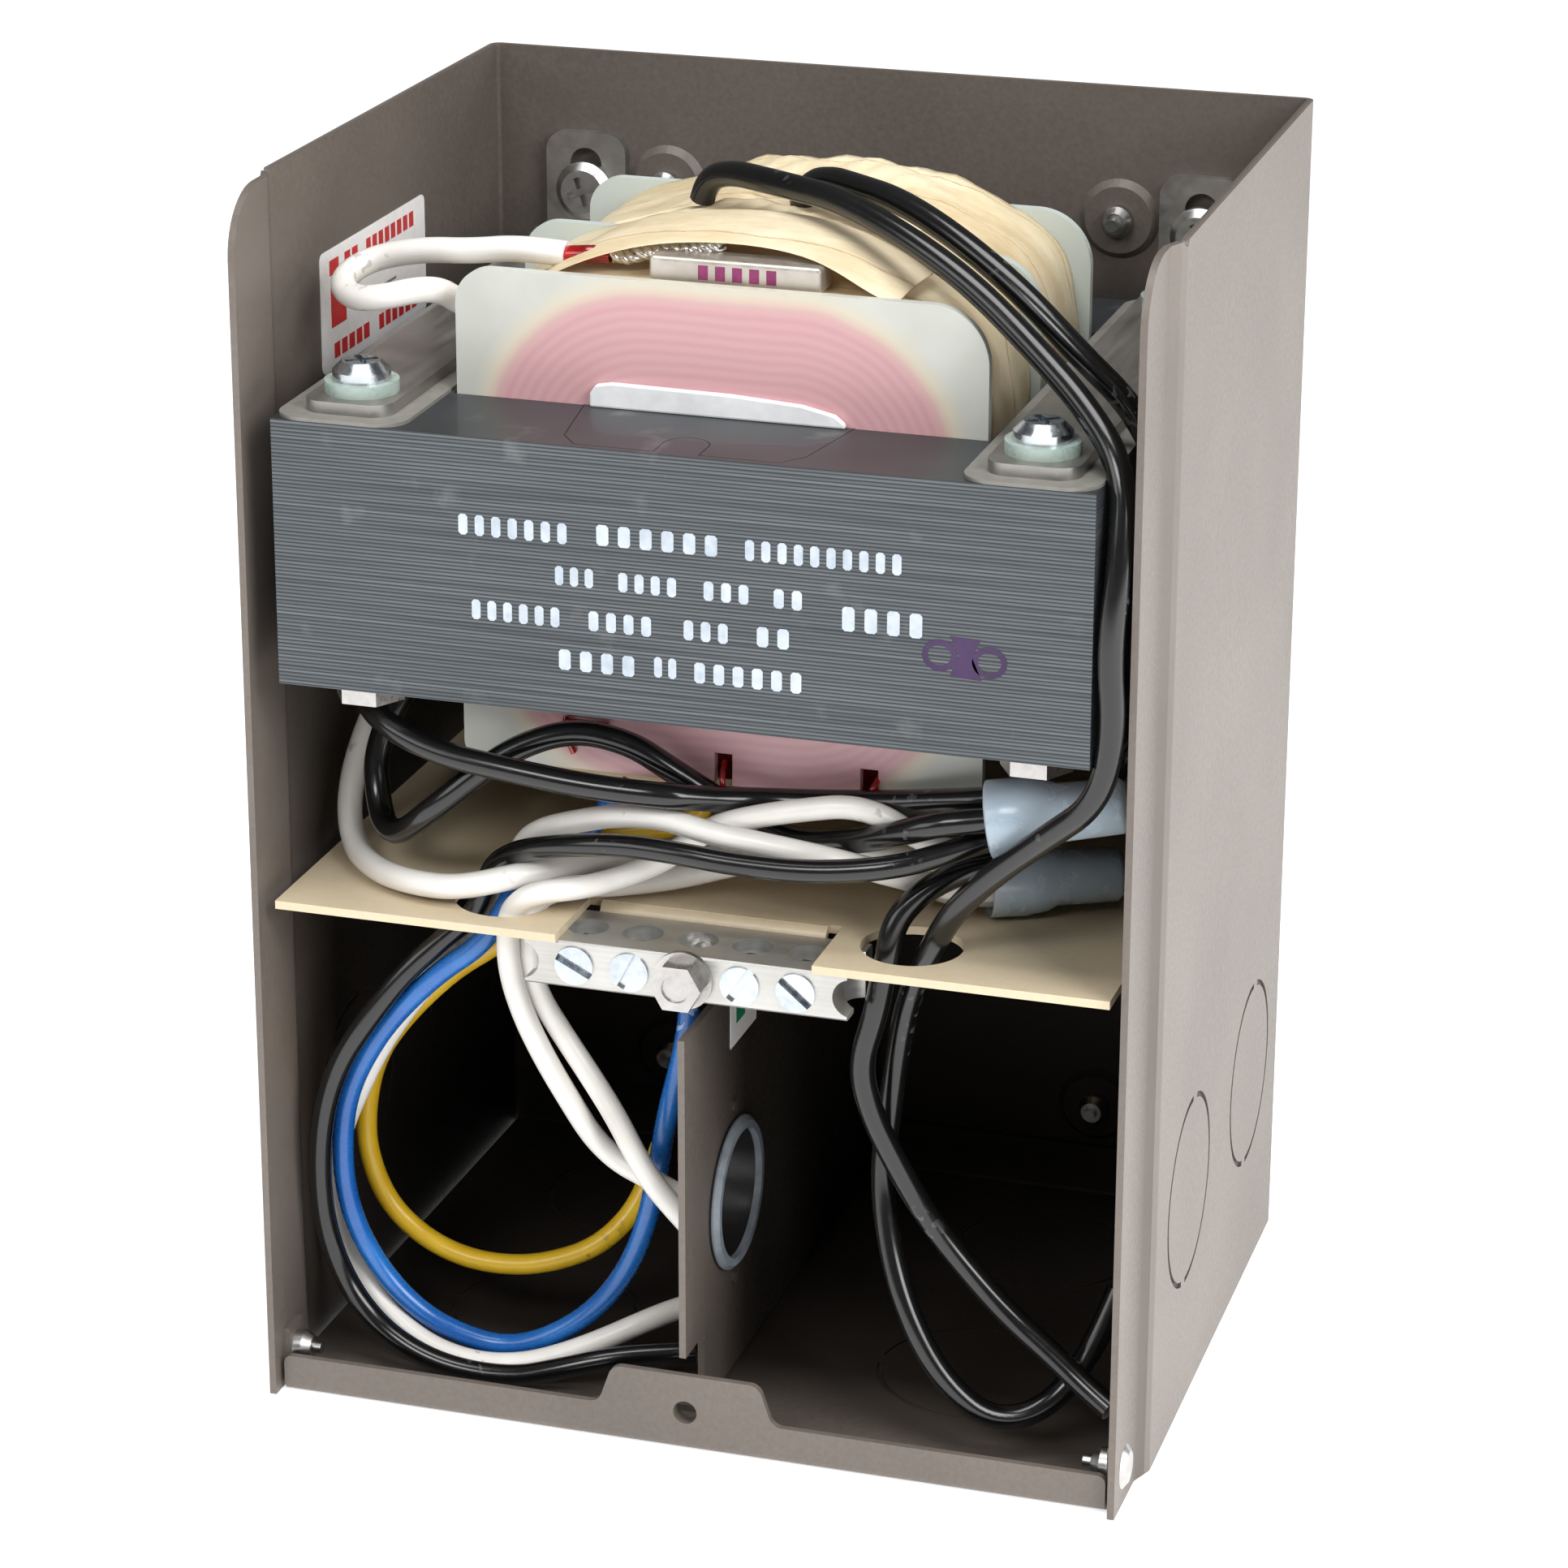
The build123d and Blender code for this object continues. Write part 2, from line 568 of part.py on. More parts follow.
# Slotted clamp screws, each with its tip just inside its wire hole
with BuildPart() as bar_screws:
    for x, turn in zip([x for x in bar_stations if x != 0], BAR_SCREW_TURNS):
        with BuildSketch(facing_front(bar_front - BAR_SCREW_PROUD)):
            with Locations((x, bar_mid_z)):
                Circle(BAR_SCREW_RADIUS)
        extrude(amount=-(BAR_DEPTH / 2 - BAR_WIRE_HOLE_RADIUS + BAR_SCREW_TIP + BAR_SCREW_PROUD))
        with BuildSketch(facing_front(bar_front - BAR_SCREW_PROUD)):
            with Locations((x, bar_mid_z)):
                Rectangle(3 * BAR_SCREW_RADIUS, BAR_SCREW_SLOT, rotation=turn)
        extrude(amount=-BAR_SCREW_SLOT_DEPTH, mode=Mode.SUBTRACT)
finish(bar_screws, "ground_bar_screws")

# Hex screw that holds the bar to the flap
with BuildPart() as hex_screw:
    with BuildSketch(facing_front(bar_front)):
        with Locations((0, bar_mid_z)):
            Circle(HEX_FLANGE_RADIUS)
    extrude(amount=HEX_FLANGE_HEIGHT)
    with BuildSketch(facing_front(bar_front - HEX_FLANGE_HEIGHT)):
        with Locations((0, bar_mid_z)):
            RegularPolygon(HEX_ACROSS_FLATS / 2, 6, major_radius=False)
    extrude(amount=HEX_HEAD_HEIGHT)
    with BuildSketch(facing_front(bar_front - HEX_FLANGE_HEIGHT - HEX_HEAD_HEIGHT)):
        with Locations((0, bar_mid_z)):
            Circle(HEX_DIMPLE_RADIUS)
    extrude(amount=-HEX_DIMPLE_DEPTH, mode=Mode.SUBTRACT)
    with BuildSketch(facing_front(bar_front)):
        with Locations((0, bar_mid_z)):
            Circle(HEX_SHANK_RADIUS)
    extrude(amount=-(BAR_DEPTH + DIVIDER_SHEET + HEX_SHANK_PAST_FLAP))
finish(hex_screw, "ground_bar_hex_screw")

# Partition between the two wiring compartments
part_right = -PARTITION_FROM_MIDDLE + PARTITION_SHEET / 2
part_front = tip_y + PARTITION_SETBACK
bushing_y = back_y - BUSHING_FROM_BACK
part_top = DIVIDER_TOP - DIVIDER_SHEET
part_rear_low = FLOOR_FLANGE_HEIGHT + PARTITION_CORNER_CUT
part_rear_high = DIVIDER_TOP - DIVIDER_REAR_FLANGE - PARTITION_CORNER_CUT
with BuildPart() as partition:
    with BuildSketch(facing_right(part_right)):
        with BuildLine():
            Polyline(
                (part_front + PARTITION_NOTCH_DEPTH, SHEET + PARTITION_BEND_RADIUS),
                (part_front + PARTITION_NOTCH_DEPTH, PARTITION_NOTCH_HEIGHT),
                (part_front, PARTITION_NOTCH_HEIGHT),
                (part_front, PARTITION_FRONT_HEIGHT),
                (part_front + PARTITION_STEP_FROM_FRONT, PARTITION_FRONT_HEIGHT),
                (part_front + PARTITION_STEP_FROM_FRONT, part_top),
                (back_in - DIVIDER_SHEET - PARTITION_CORNER_CUT, part_top),
                (back_in - DIVIDER_SHEET - PARTITION_CORNER_CUT, part_rear_high),
                (back_in - PARTITION_BEND_RADIUS, part_rear_high),
                (back_in - PARTITION_BEND_RADIUS, part_rear_low),
                (back_in - SHEET - PARTITION_CORNER_CUT, part_rear_low),
                (back_in - SHEET - PARTITION_CORNER_CUT, SHEET + PARTITION_BEND_RADIUS),
                close=True,
            )
        make_face()
        with Locations((bushing_y, BUSHING_HEIGHT)):
            Circle(BUSHING_HOLE_RADIUS + BUSHING_WALL + BUSHING_FIT, mode=Mode.SUBTRACT)
    extrude(amount=-PARTITION_SHEET)
    # Flange on the floor
    with BuildSketch(facing_front(back_in - SHEET - PARTITION_CORNER_CUT)):
        with BuildLine():
            FilletPolyline(
                (part_right, SHEET + 2 * PARTITION_BEND_RADIUS),
                (part_right, SHEET),
                (part_right - PARTITION_FLANGE, SHEET),
                radius=PARTITION_BEND_RADIUS,
            )
            offset(amount=PARTITION_SHEET, side=Side.RIGHT)
        make_face()
    extrude(amount=back_in - SHEET - PARTITION_CORNER_CUT - part_front - PARTITION_NOTCH_DEPTH)
    # Flange on the back wall
    with BuildSketch(Plane.XY.offset(part_rear_low)):
        with BuildLine():
            FilletPolyline(
                (part_right, back_in - 2 * PARTITION_BEND_RADIUS),
                (part_right, back_in),
                (part_right - PARTITION_FLANGE, back_in),
                radius=PARTITION_BEND_RADIUS,
            )
            offset(amount=PARTITION_SHEET, side=Side.LEFT)
        make_face()
    extrude(amount=part_rear_high - part_rear_low)
    # Small embossed nubs above and below the bushing
    for side in (-1, 1):
        with Locations(
            Plane((part_right, bushing_y, BUSHING_HEIGHT + side * TIE_NUB_OFFSET), z_dir=(1, 0, 0))
        ):
            Cylinder(TIE_NUB_RADIUS, 2 * TIE_NUB_HEIGHT)
finish(partition, "partition_plate")

# Snap bushing in the partition
with BuildPart() as bushing:
    with BuildSketch(Plane.XZ):
        with BuildLine():
            Polyline(
                (BUSHING_HOLE_RADIUS, BUSHING_FLANGE),
                (BUSHING_HOLE_RADIUS, -BUSHING_BARREL),
                (BUSHING_HOLE_RADIUS + BUSHING_WALL / 2, -BUSHING_BARREL),
                (BUSHING_HOLE_RADIUS + BUSHING_WALL + BUSHING_SNAP, -PARTITION_SHEET - BUSHING_SNAP),
                (BUSHING_HOLE_RADIUS + BUSHING_WALL, -PARTITION_SHEET),
                (BUSHING_HOLE_RADIUS + BUSHING_WALL, 0),
                (BUSHING_FLANGE_RADIUS, 0),
                (BUSHING_FLANGE_RADIUS, BUSHING_FLANGE / 2),
                (BUSHING_FLANGE_RADIUS - BUSHING_FLANGE / 2, BUSHING_FLANGE),
                close=True,
            )
        make_face()
    revolve(axis=Axis.Z)
bushing_place = Plane((part_right, bushing_y, BUSHING_HEIGHT), z_dir=(1, 0, 0))
with BuildPart() as seated_bushing:
    with Locations(bushing_place):
        add(bushing.part)
finish(seated_bushing, "partition_bushing")

# Centre leg of the core with its keyed head
leg_half = LEG_WIDTH / 2
head_front = core_front + LEG_HEAD_BRIDGE
with BuildSketch() as leg_head:
    with BuildLine():
        Polyline(
            (-leg_half, window_front),
            (-LEG_NECK_HALF, head_front + LEG_HEAD_CHAMFER),
            (-LEG_HEAD_HALF, head_front),
            (LEG_HEAD_HALF, head_front),
            (LEG_NECK_HALF, head_front + LEG_HEAD_CHAMFER),
            (leg_half, window_front),
            close=True,
        )
    make_face()
    with Locations((0, head_front + (HOOK_DEPTH - HOOK_WIDTH / 2) / 2)):
        Rectangle(HOOK_WIDTH, HOOK_DEPTH - HOOK_WIDTH / 2, mode=Mode.SUBTRACT)
    with Locations((0, head_front + HOOK_DEPTH - HOOK_WIDTH / 2)):
        Circle(HOOK_WIDTH / 2, mode=Mode.SUBTRACT)
with BuildPart() as leg:
    with BuildSketch(Plane.XY.offset(CORE_BOTTOM)):
        add(leg_head.sketch)
        with Locations((0, (window_front + window_back) / 2)):
            Rectangle(LEG_WIDTH, window_depth)
    extrude(amount=CORE_STACK)
finish(leg, "core_centre_leg")

# Closed outer frame of the core
with BuildSketch() as head_pocket:
    add(leg_head.sketch)
    offset(amount=JOINT_GAP, kind=Kind.INTERSECTION)
with BuildPart() as core:
    with BuildSketch(Plane.XY.offset(CORE_BOTTOM)):
        with Locations((0, core_mid_y)):
            Rectangle(CORE_WIDTH, CORE_DEPTH)
        with Locations((0, (window_front + window_back) / 2)):
            Rectangle(2 * window_outer, window_depth, mode=Mode.SUBTRACT)
        add(head_pocket.sketch, mode=Mode.SUBTRACT)
        with Locations(*[(x, y) for x in (-bolt_x, bolt_x) for y in bolt_ys]):
            Circle(BOLT_HOLE_RADIUS, mode=Mode.SUBTRACT)
    extrude(amount=CORE_STACK)
finish(core, "core_frame_laminations")

# Coil former: a square tube round the centre leg with three flanges
former_half = leg_half + BOBBIN_LEG_FIT + BOBBIN_WALL
former_high = core_top + BOBBIN_WALL
former_low = CORE_BOTTOM - 2 * BOBBIN_LEG_FIT - BOBBIN_WALL
former_mid_z = (former_low + former_high) / 2
flange_front = window_front + FLANGE_END_FIT
flange_rear = window_back - FLANGE_END_FIT
flange_half = window_outer - FLANGE_SIDE_FIT
flange_top = core_top + FLANGE_RISE
flange_low = CORE_BOTTOM - FLANGE_DROP
middle_front = flange_front + (flange_rear - flange_front - BOBBIN_FLANGE) * MIDDLE_FLANGE_SHARE
with BuildPart() as bobbin:
    for y in (flange_front, middle_front, flange_rear - BOBBIN_FLANGE):
        with BuildSketch(facing_front(y)):
            with BuildLine():
                FilletPolyline(
                    (-flange_half, flange_low),
                    (-flange_half, flange_top),
                    (flange_half, flange_top),
                    (flange_half, flange_low),
                    radius=[
                        FLANGE_BOTTOM_CORNER,
                        FLANGE_TOP_LEFT_CORNER,
                        FLANGE_TOP_RIGHT_CORNER,
                        FLANGE_BOTTOM_CORNER,
                    ],
                    close=True,
                )
            make_face()
        extrude(amount=-BOBBIN_FLANGE)
    with BuildSketch(facing_front(flange_front)):
        with Locations((0, former_mid_z)):
            Rectangle(2 * former_half, former_high - former_low)
    extrude(amount=flange_front - flange_rear)
    with BuildSketch(facing_front(flange_front)):
        with Locations((0, former_mid_z)):
            Rectangle(LEG_WIDTH + 2 * BOBBIN_LEG_FIT, CORE_STACK + 2 * BOBBIN_LEG_FIT)
    extrude(amount=flange_front - flange_rear, mode=Mode.SUBTRACT)
    # Slots that let the leads out of the front flange
    with BuildSketch(facing_front(flange_front)):
        with Locations(*[(x, flange_low + LEAD_SLOT_HEIGHT / 2) for x in LEAD_SLOTS_X]):
            Rectangle(LEAD_SLOT_WIDTH, LEAD_SLOT_HEIGHT)
    extrude(amount=-BOBBIN_FLANGE, mode=Mode.SUBTRACT)
finish(bobbin, "bobbin")

# Windings and their tape
wire_half = former_half + WINDING_BUILD
wire_low = former_low - WINDING_BUILD
wire_high = former_high + WINDING_BUILD
tape_half = wire_half + TAPE_BUILD
tape_low = wire_low - TAPE_BUILD
tape_high = wire_high + TAPE_BUILD


def wound_block(front, rear, name):
    """Copper between two flanges, packed round the former."""
    with BuildPart() as coil:
        with BuildSketch(facing_front(front)):
            with Locations((0, former_mid_z)):
                RectangleRounded(2 * wire_half, wire_high - wire_low, WINDING_CORNER)
                Rectangle(2 * former_half, former_high - former_low, mode=Mode.SUBTRACT)
        extrude(amount=front - rear)
    finish(coil, name)


def tape_wrap(front, rear, crown_front, name):
    """Tape over one winding, higher along the crown behind the place where the splice lies."""
    with BuildPart() as tape:
        with BuildSketch(facing_front(front)):
            with Locations((0, former_mid_z)):
                RectangleRounded(2 * tape_half, tape_high - tape_low, TAPE_CORNER)
                RectangleRounded(2 * wire_half, wire_high - wire_low, WINDING_CORNER, mode=Mode.SUBTRACT)
        extrude(amount=front - rear)
        with BuildSketch(facing_front(crown_front)):
            with BuildLine():
                rise = FilletPolyline(
                    (-tape_half, tape_high - TAPE_CORNER),
                    (-tape_half + TAPE_CORNER, tape_high),
                    (-CROWN_HALF, tape_high + TAPE_CROWN),
                    (CROWN_HALF, tape_high + TAPE_CROWN),
                    (tape_half - TAPE_CORNER, tape_high),
                    (tape_half, tape_high - TAPE_CORNER),
                    radius=TAPE_CORNER / 2,
                )
                Line(rise @ 1, rise @ 0)
            make_face()
            with Locations((0, former_mid_z)):
                RectangleRounded(2 * wire_half, wire_high - wire_low, WINDING_CORNER, mode=Mode.SUBTRACT)
        extrude(amount=crown_front - rear)
    finish(tape, name)


coil_front = flange_front + BOBBIN_FLANGE
coil_split = middle_front + BOBBIN_FLANGE
coil_rear = flange_rear - BOBBIN_FLANGE
wound_block(coil_front, middle_front, "front_winding")
wound_block(coil_split, coil_rear, "rear_winding")
tape_wrap(coil_front, middle_front, coil_front + CROWN_SETBACK, "front_tape")
tape_wrap(coil_split, coil_rear, coil_split, "rear_tape")

# Folded insulation strip that stands against the front flange
with BuildPart() as wedge:
    with Locations((0, flange_front - WEDGE_THICK / 2, core_top + WEDGE_HEIGHT / 2)):
        Box(WEDGE_LENGTH, WEDGE_THICK, WEDGE_HEIGHT)
finish(wedge, "window_wedge")

# Thermal cut-off that lies on the front tape
cutoff_y = coil_front + CUTOFF_FROM_FLANGE
cutoff_z = tape_high + CUTOFF_RADIUS
with BuildPart() as cutoff:
    with Locations(Plane((CUTOFF_X, cutoff_y, cutoff_z), z_dir=(1, 0, 0))):
        Cylinder(CUTOFF_RADIUS, CUTOFF_LENGTH)
        Cylinder(CUTOFF_TIP_RADIUS, CUTOFF_LENGTH + 2 * CUTOFF_TIP)
finish(cutoff, "thermal_cutoff")

# Insulation plates on the core, under the two strips
plate_outer = CORE_WIDTH / 2
with BuildPart() as plates:
    for side in (-1, 1):
        with BuildSketch(Plane.XY.offset(core_top)):
            with Locations((side * (PLATE_INNER + plate_outer) / 2, core_mid_y)):
                RectangleRounded(plate_outer - PLATE_INNER, CORE_DEPTH, PLATE_CORNER)
            with Locations(*[(side * bolt_x, y) for y in bolt_ys]):
                Circle(SHOULDER_RADIUS + SCREW_FIT, mode=Mode.SUBTRACT)
        extrude(amount=PLATE_THICK)
finish(plates, "insulation_plates")

# Steel strips that hang the transformer from the back wall
strip_low = core_top + PLATE_THICK
strip_high = strip_low + STRIP_THICK


def strip(side, name):
    """One strip: flat along the core, turned up at the back wall, with an open keyhole slot."""
    with BuildPart() as bent:
        with BuildSketch(facing_right(side * bolt_x - STRIP_WIDTH / 2)):
            with BuildLine():
                FilletPolyline(
                    (core_front + STRIP_SETBACK, strip_low),
                    (back_in, strip_low),
                    (back_in, strip_tab_top),
                    radius=STRIP_BEND_RADIUS,
                )
                offset(amount=STRIP_THICK, side=Side.LEFT)
            make_face()
        extrude(amount=STRIP_WIDTH)
        # Rounded free ends
        front_corners = bent.edges().filter_by(Axis.Z).group_by(Axis.Y)[0]
        fillet(front_corners, STRIP_CORNER)
        top_corners = bent.edges().filter_by(Axis.Y).group_by(Axis.Z)[-1]
        fillet(top_corners, STRIP_CORNER)
        with BuildSketch(Plane.XY.offset(strip_low)):
            with Locations(*[(side * bolt_x, y) for y in bolt_ys]):
                Circle(SHOULDER_RADIUS + SCREW_FIT)
        extrude(amount=STRIP_THICK, mode=Mode.SUBTRACT)
        with BuildSketch(facing_front(back_in)):
            with Locations((side * bolt_x, strip_slot_z)):
                SlotOverall(STRIP_SLOT_LENGTH, STRIP_SLOT_WIDTH, rotation=90)
        extrude(amount=STRIP_THICK, mode=Mode.SUBTRACT)
    finish(bent, name)


strip(-1, "mounting_bracket_left")
strip(1, "mounting_bracket_right")

# Fasteners of the core: bolts, nylon shoulder washers, flat washers and nuts
corner_places = [(x, y) for x in (-bolt_x, bolt_x) for y in bolt_ys]
washer_high = strip_high + SHOULDER_WASHER_HEIGHT
washer_low = CORE_BOTTOM - FLAT_WASHER_THICK
nut_low = washer_low - NUT_HEIGHT
with BuildPart() as bolts:
    for x, y in corner_places:
        with Locations((x, y, washer_high)):
            with Locations((0, 0, BOLT_HEAD_HEIGHT / 2)):
                Cylinder(BOLT_HEAD_RADIUS, BOLT_HEAD_HEIGHT)
    rims = bolts.edges().filter_by(GeomType.CIRCLE).group_by(Axis.Z)[-1]
    chamfer(rims, BOLT_HEAD_EDGE)
    for x, y in corner_places:
        with BuildSketch(Plane.XY.offset(washer_high + BOLT_HEAD_HEIGHT)):
            with Locations((x, y)):
                Rectangle(BOLT_RECESS_LENGTH, BOLT_RECESS_WIDTH, rotation=BOLT_RECESS_TURN)
                Rectangle(BOLT_RECESS_WIDTH, BOLT_RECESS_LENGTH, rotation=BOLT_RECESS_TURN)
        extrude(amount=-BOLT_RECESS_DEPTH, mode=Mode.SUBTRACT)
    for x, y in corner_places:
        with BuildSketch(Plane.XY.offset(nut_low - BOLT_PAST_NUT)):
            with Locations((x, y)):
                Circle(CORE_BOLT_RADIUS)
        extrude(amount=washer_high - nut_low + BOLT_PAST_NUT)
finish(bolts, "core_bolts")

with BuildPart() as shoulder_washers:
    for x, y in corner_places:
        with BuildSketch(Plane.XY.offset(strip_high)):
            with Locations((x, y)):
                Circle(SHOULDER_WASHER_RADIUS)
        extrude(amount=SHOULDER_WASHER_HEIGHT)
        with BuildSketch(Plane.XY.offset(strip_high)):
            with Locations((x, y)):
                Circle(SHOULDER_RADIUS)
        extrude(amount=-SHOULDER_LENGTH)
        with BuildSketch(Plane.XY.offset(strip_high - SHOULDER_LENGTH)):
            with Locations((x, y)):
                Circle(CORE_BOLT_RADIUS + SCREW_FIT)
        extrude(amount=SHOULDER_LENGTH + SHOULDER_WASHER_HEIGHT, mode=Mode.SUBTRACT)
finish(shoulder_washers, "nylon_washers")

with BuildPart() as flat_washers:
    for x, y in corner_places:
        with BuildSketch(Plane.XY.offset(washer_low)):
            with Locations((x, y)):
                Circle(FLAT_WASHER_RADIUS)
                Circle(CORE_BOLT_RADIUS + SCREW_FIT, mode=Mode.SUBTRACT)
        extrude(amount=FLAT_WASHER_THICK)
finish(flat_washers, "flat_washers")

with BuildPart() as nuts:
    for x, y in corner_places:
        with BuildSketch(Plane.XY.offset(nut_low)):
            with Locations((x, y)):
                RegularPolygon(NUT_ACROSS_FLATS / 2, 6, major_radius=False)
                Circle(CORE_BOLT_RADIUS, mode=Mode.SUBTRACT)
        extrude(amount=NUT_HEIGHT)
finish(nuts, "core_nuts")

# Pan head screws that hold the strips to the back wall
with BuildPart() as bracket_screws:
    for side in (-1, 1):
        with BuildSketch(facing_front(back_in - STRIP_THICK)):
            with Locations((side * bolt_x, bracket_screw_z)):
                Circle(BRACKET_SCREW_HEAD)
        extrude(amount=BRACKET_SCREW_HEAD_HEIGHT)
    crowns = bracket_screws.edges().filter_by(GeomType.CIRCLE).group_by(Axis.Y)[0]
    chamfer(crowns, BRACKET_SCREW_EDGE)
    for side in (-1, 1):
        with BuildSketch(facing_front(back_in - STRIP_THICK - BRACKET_SCREW_HEAD_HEIGHT)):
            with Locations((side * bolt_x, bracket_screw_z)):
                Rectangle(BOLT_RECESS_LENGTH, BOLT_RECESS_WIDTH, rotation=BRACKET_RECESS_TURN)
                Rectangle(BOLT_RECESS_WIDTH, BOLT_RECESS_LENGTH, rotation=BRACKET_RECESS_TURN)
        extrude(amount=-BOLT_RECESS_DEPTH, mode=Mode.SUBTRACT)
        with BuildSketch(facing_front(back_in - STRIP_THICK)):
            with Locations((side * bolt_x, bracket_screw_z)):
                Circle(BRACKET_SCREW_RADIUS)
        extrude(amount=-STRIP_THICK - SHEET)
finish(bracket_screws, "bracket_screws")
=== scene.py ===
import bpy
import bmesh
import math
from mathutils import Vector, Matrix


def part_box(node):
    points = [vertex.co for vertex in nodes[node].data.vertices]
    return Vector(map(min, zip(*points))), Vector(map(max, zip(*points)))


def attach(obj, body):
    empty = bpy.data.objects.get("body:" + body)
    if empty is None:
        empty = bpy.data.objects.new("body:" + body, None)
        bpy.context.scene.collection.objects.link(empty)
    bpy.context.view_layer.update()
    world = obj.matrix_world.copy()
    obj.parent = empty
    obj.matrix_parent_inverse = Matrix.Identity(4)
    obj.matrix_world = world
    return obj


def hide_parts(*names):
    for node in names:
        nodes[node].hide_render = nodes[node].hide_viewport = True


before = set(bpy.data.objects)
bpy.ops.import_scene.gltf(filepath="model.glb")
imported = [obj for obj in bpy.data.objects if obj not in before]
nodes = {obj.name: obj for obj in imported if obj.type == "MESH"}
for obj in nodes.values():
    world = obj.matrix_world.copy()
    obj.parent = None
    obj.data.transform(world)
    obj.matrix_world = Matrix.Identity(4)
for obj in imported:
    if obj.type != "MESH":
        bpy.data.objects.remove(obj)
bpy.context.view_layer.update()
MM = 0.001

# Camera place in millimetres, turns in degrees and lens, as solved from the photograph
CAMERA_PLACE = (199.604, -646.28, 335.872)
CAMERA_YAW, CAMERA_PITCH, CAMERA_ROLL = 17.2149, 20.4415, 0.1469
CAMERA_LENS, SENSOR_WIDTH, CAMERA_NEAR = 114.24, 36.0, 0.01

# The enclosure in millimetres: outer face of the back, crease of the side walls, and the walls' outer places there
BACK_Y, CREASE_Y = 52.2, -34.8
WALL_X_AT_BACK, WALL_SPLAY, SHEET = 63.2, 1.2, 1.0
PARTITION_FACE_X = -0.2
FLANGE_FACE_Y = -33.3

# Shade of the wiring space in metres: from where to where it fades with height and with depth
SHADE_HEIGHT, SHADE_DEPTH = (0.070, 0.150), (-0.048, -0.020)

# The coil behind the front flange in metres: half sizes of the former, height of its middle, back of that flange,
# where the turns and the tape end, and the pitches of the rings, the turns and the laminations
FORMER_HALF_X, FORMER_HALF_Z, COIL_MIDDLE_Z, FRONT_FLANGE_Y = 0.0105, 0.0126, 0.1290, -0.0300
TURNS_END, TAPE_END = (0.0214, 0.0236), (0.0230, 0.0258)
RING_PITCH, TURN_PITCH, LAMINATION_PITCH = 0.0015, 0.0011, 0.00052

# Knockout cuts in millimetres: two radii, height on the walls, distances from the back, and places on the floor
CUT_INNER, CUT_OUTER = 13.4, 14.2
WALL_KNOCKOUT_Z, WALL_KNOCKOUT_BACK = 34.0, (65.5, 22.5)
FLOOR_KNOCKOUT_X, FLOOR_KNOCKOUT_BACK = (-33.3, 33.3), (67.0, 24.0)
WEB_NEAR, WEB_FAR, WEB_STEPS = 0.3, 0.62, 64

# How far printed marks and label sheets stand off what carries them, in millimetres
PRINT_PROUD, SHEET_PROUD, MARK_PROUD = 0.04, 0.12, 0.16


def mm(*values):
    return Vector([v * MM for v in values])


def add_object(name, data):
    """An object in the scene that rides on the one body."""
    obj = bpy.data.objects.new(name, data)
    bpy.context.scene.collection.objects.link(obj)
    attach(obj, "root")
    return obj


# Camera
cam_data = bpy.data.cameras.new("camera")
cam = bpy.data.objects.new("camera", cam_data)
bpy.context.scene.collection.objects.link(cam)
yaw, pitch, roll = (math.radians(turn) for turn in (CAMERA_YAW, CAMERA_PITCH, CAMERA_ROLL))
forward = Vector((-math.sin(yaw) * math.cos(pitch), math.cos(yaw) * math.cos(pitch), -math.sin(pitch)))
level_right = Vector((math.cos(yaw), math.sin(yaw), 0.0))
level_up = level_right.cross(forward)
right = level_right * math.cos(roll) + level_up * math.sin(roll)
up = level_up * math.cos(roll) - level_right * math.sin(roll)
rotation = Matrix((right, up, -forward)).transposed().to_4x4()
cam.matrix_world = Matrix.Translation(mm(*CAMERA_PLACE)) @ rotation
cam_data.sensor_width = SENSOR_WIDTH
cam_data.lens = CAMERA_LENS
cam_data.clip_start = CAMERA_NEAR
bpy.context.scene.camera = cam


# Materials
def srgb(red, green, blue):
    """A linear colour from display values of 0 to 255."""
    def linear(value):
        value = value / 255.0
        return value / 12.92 if value <= 0.04045 else ((value + 0.055) / 1.055) ** 2.4
    return (linear(red), linear(green), linear(blue), 1.0)


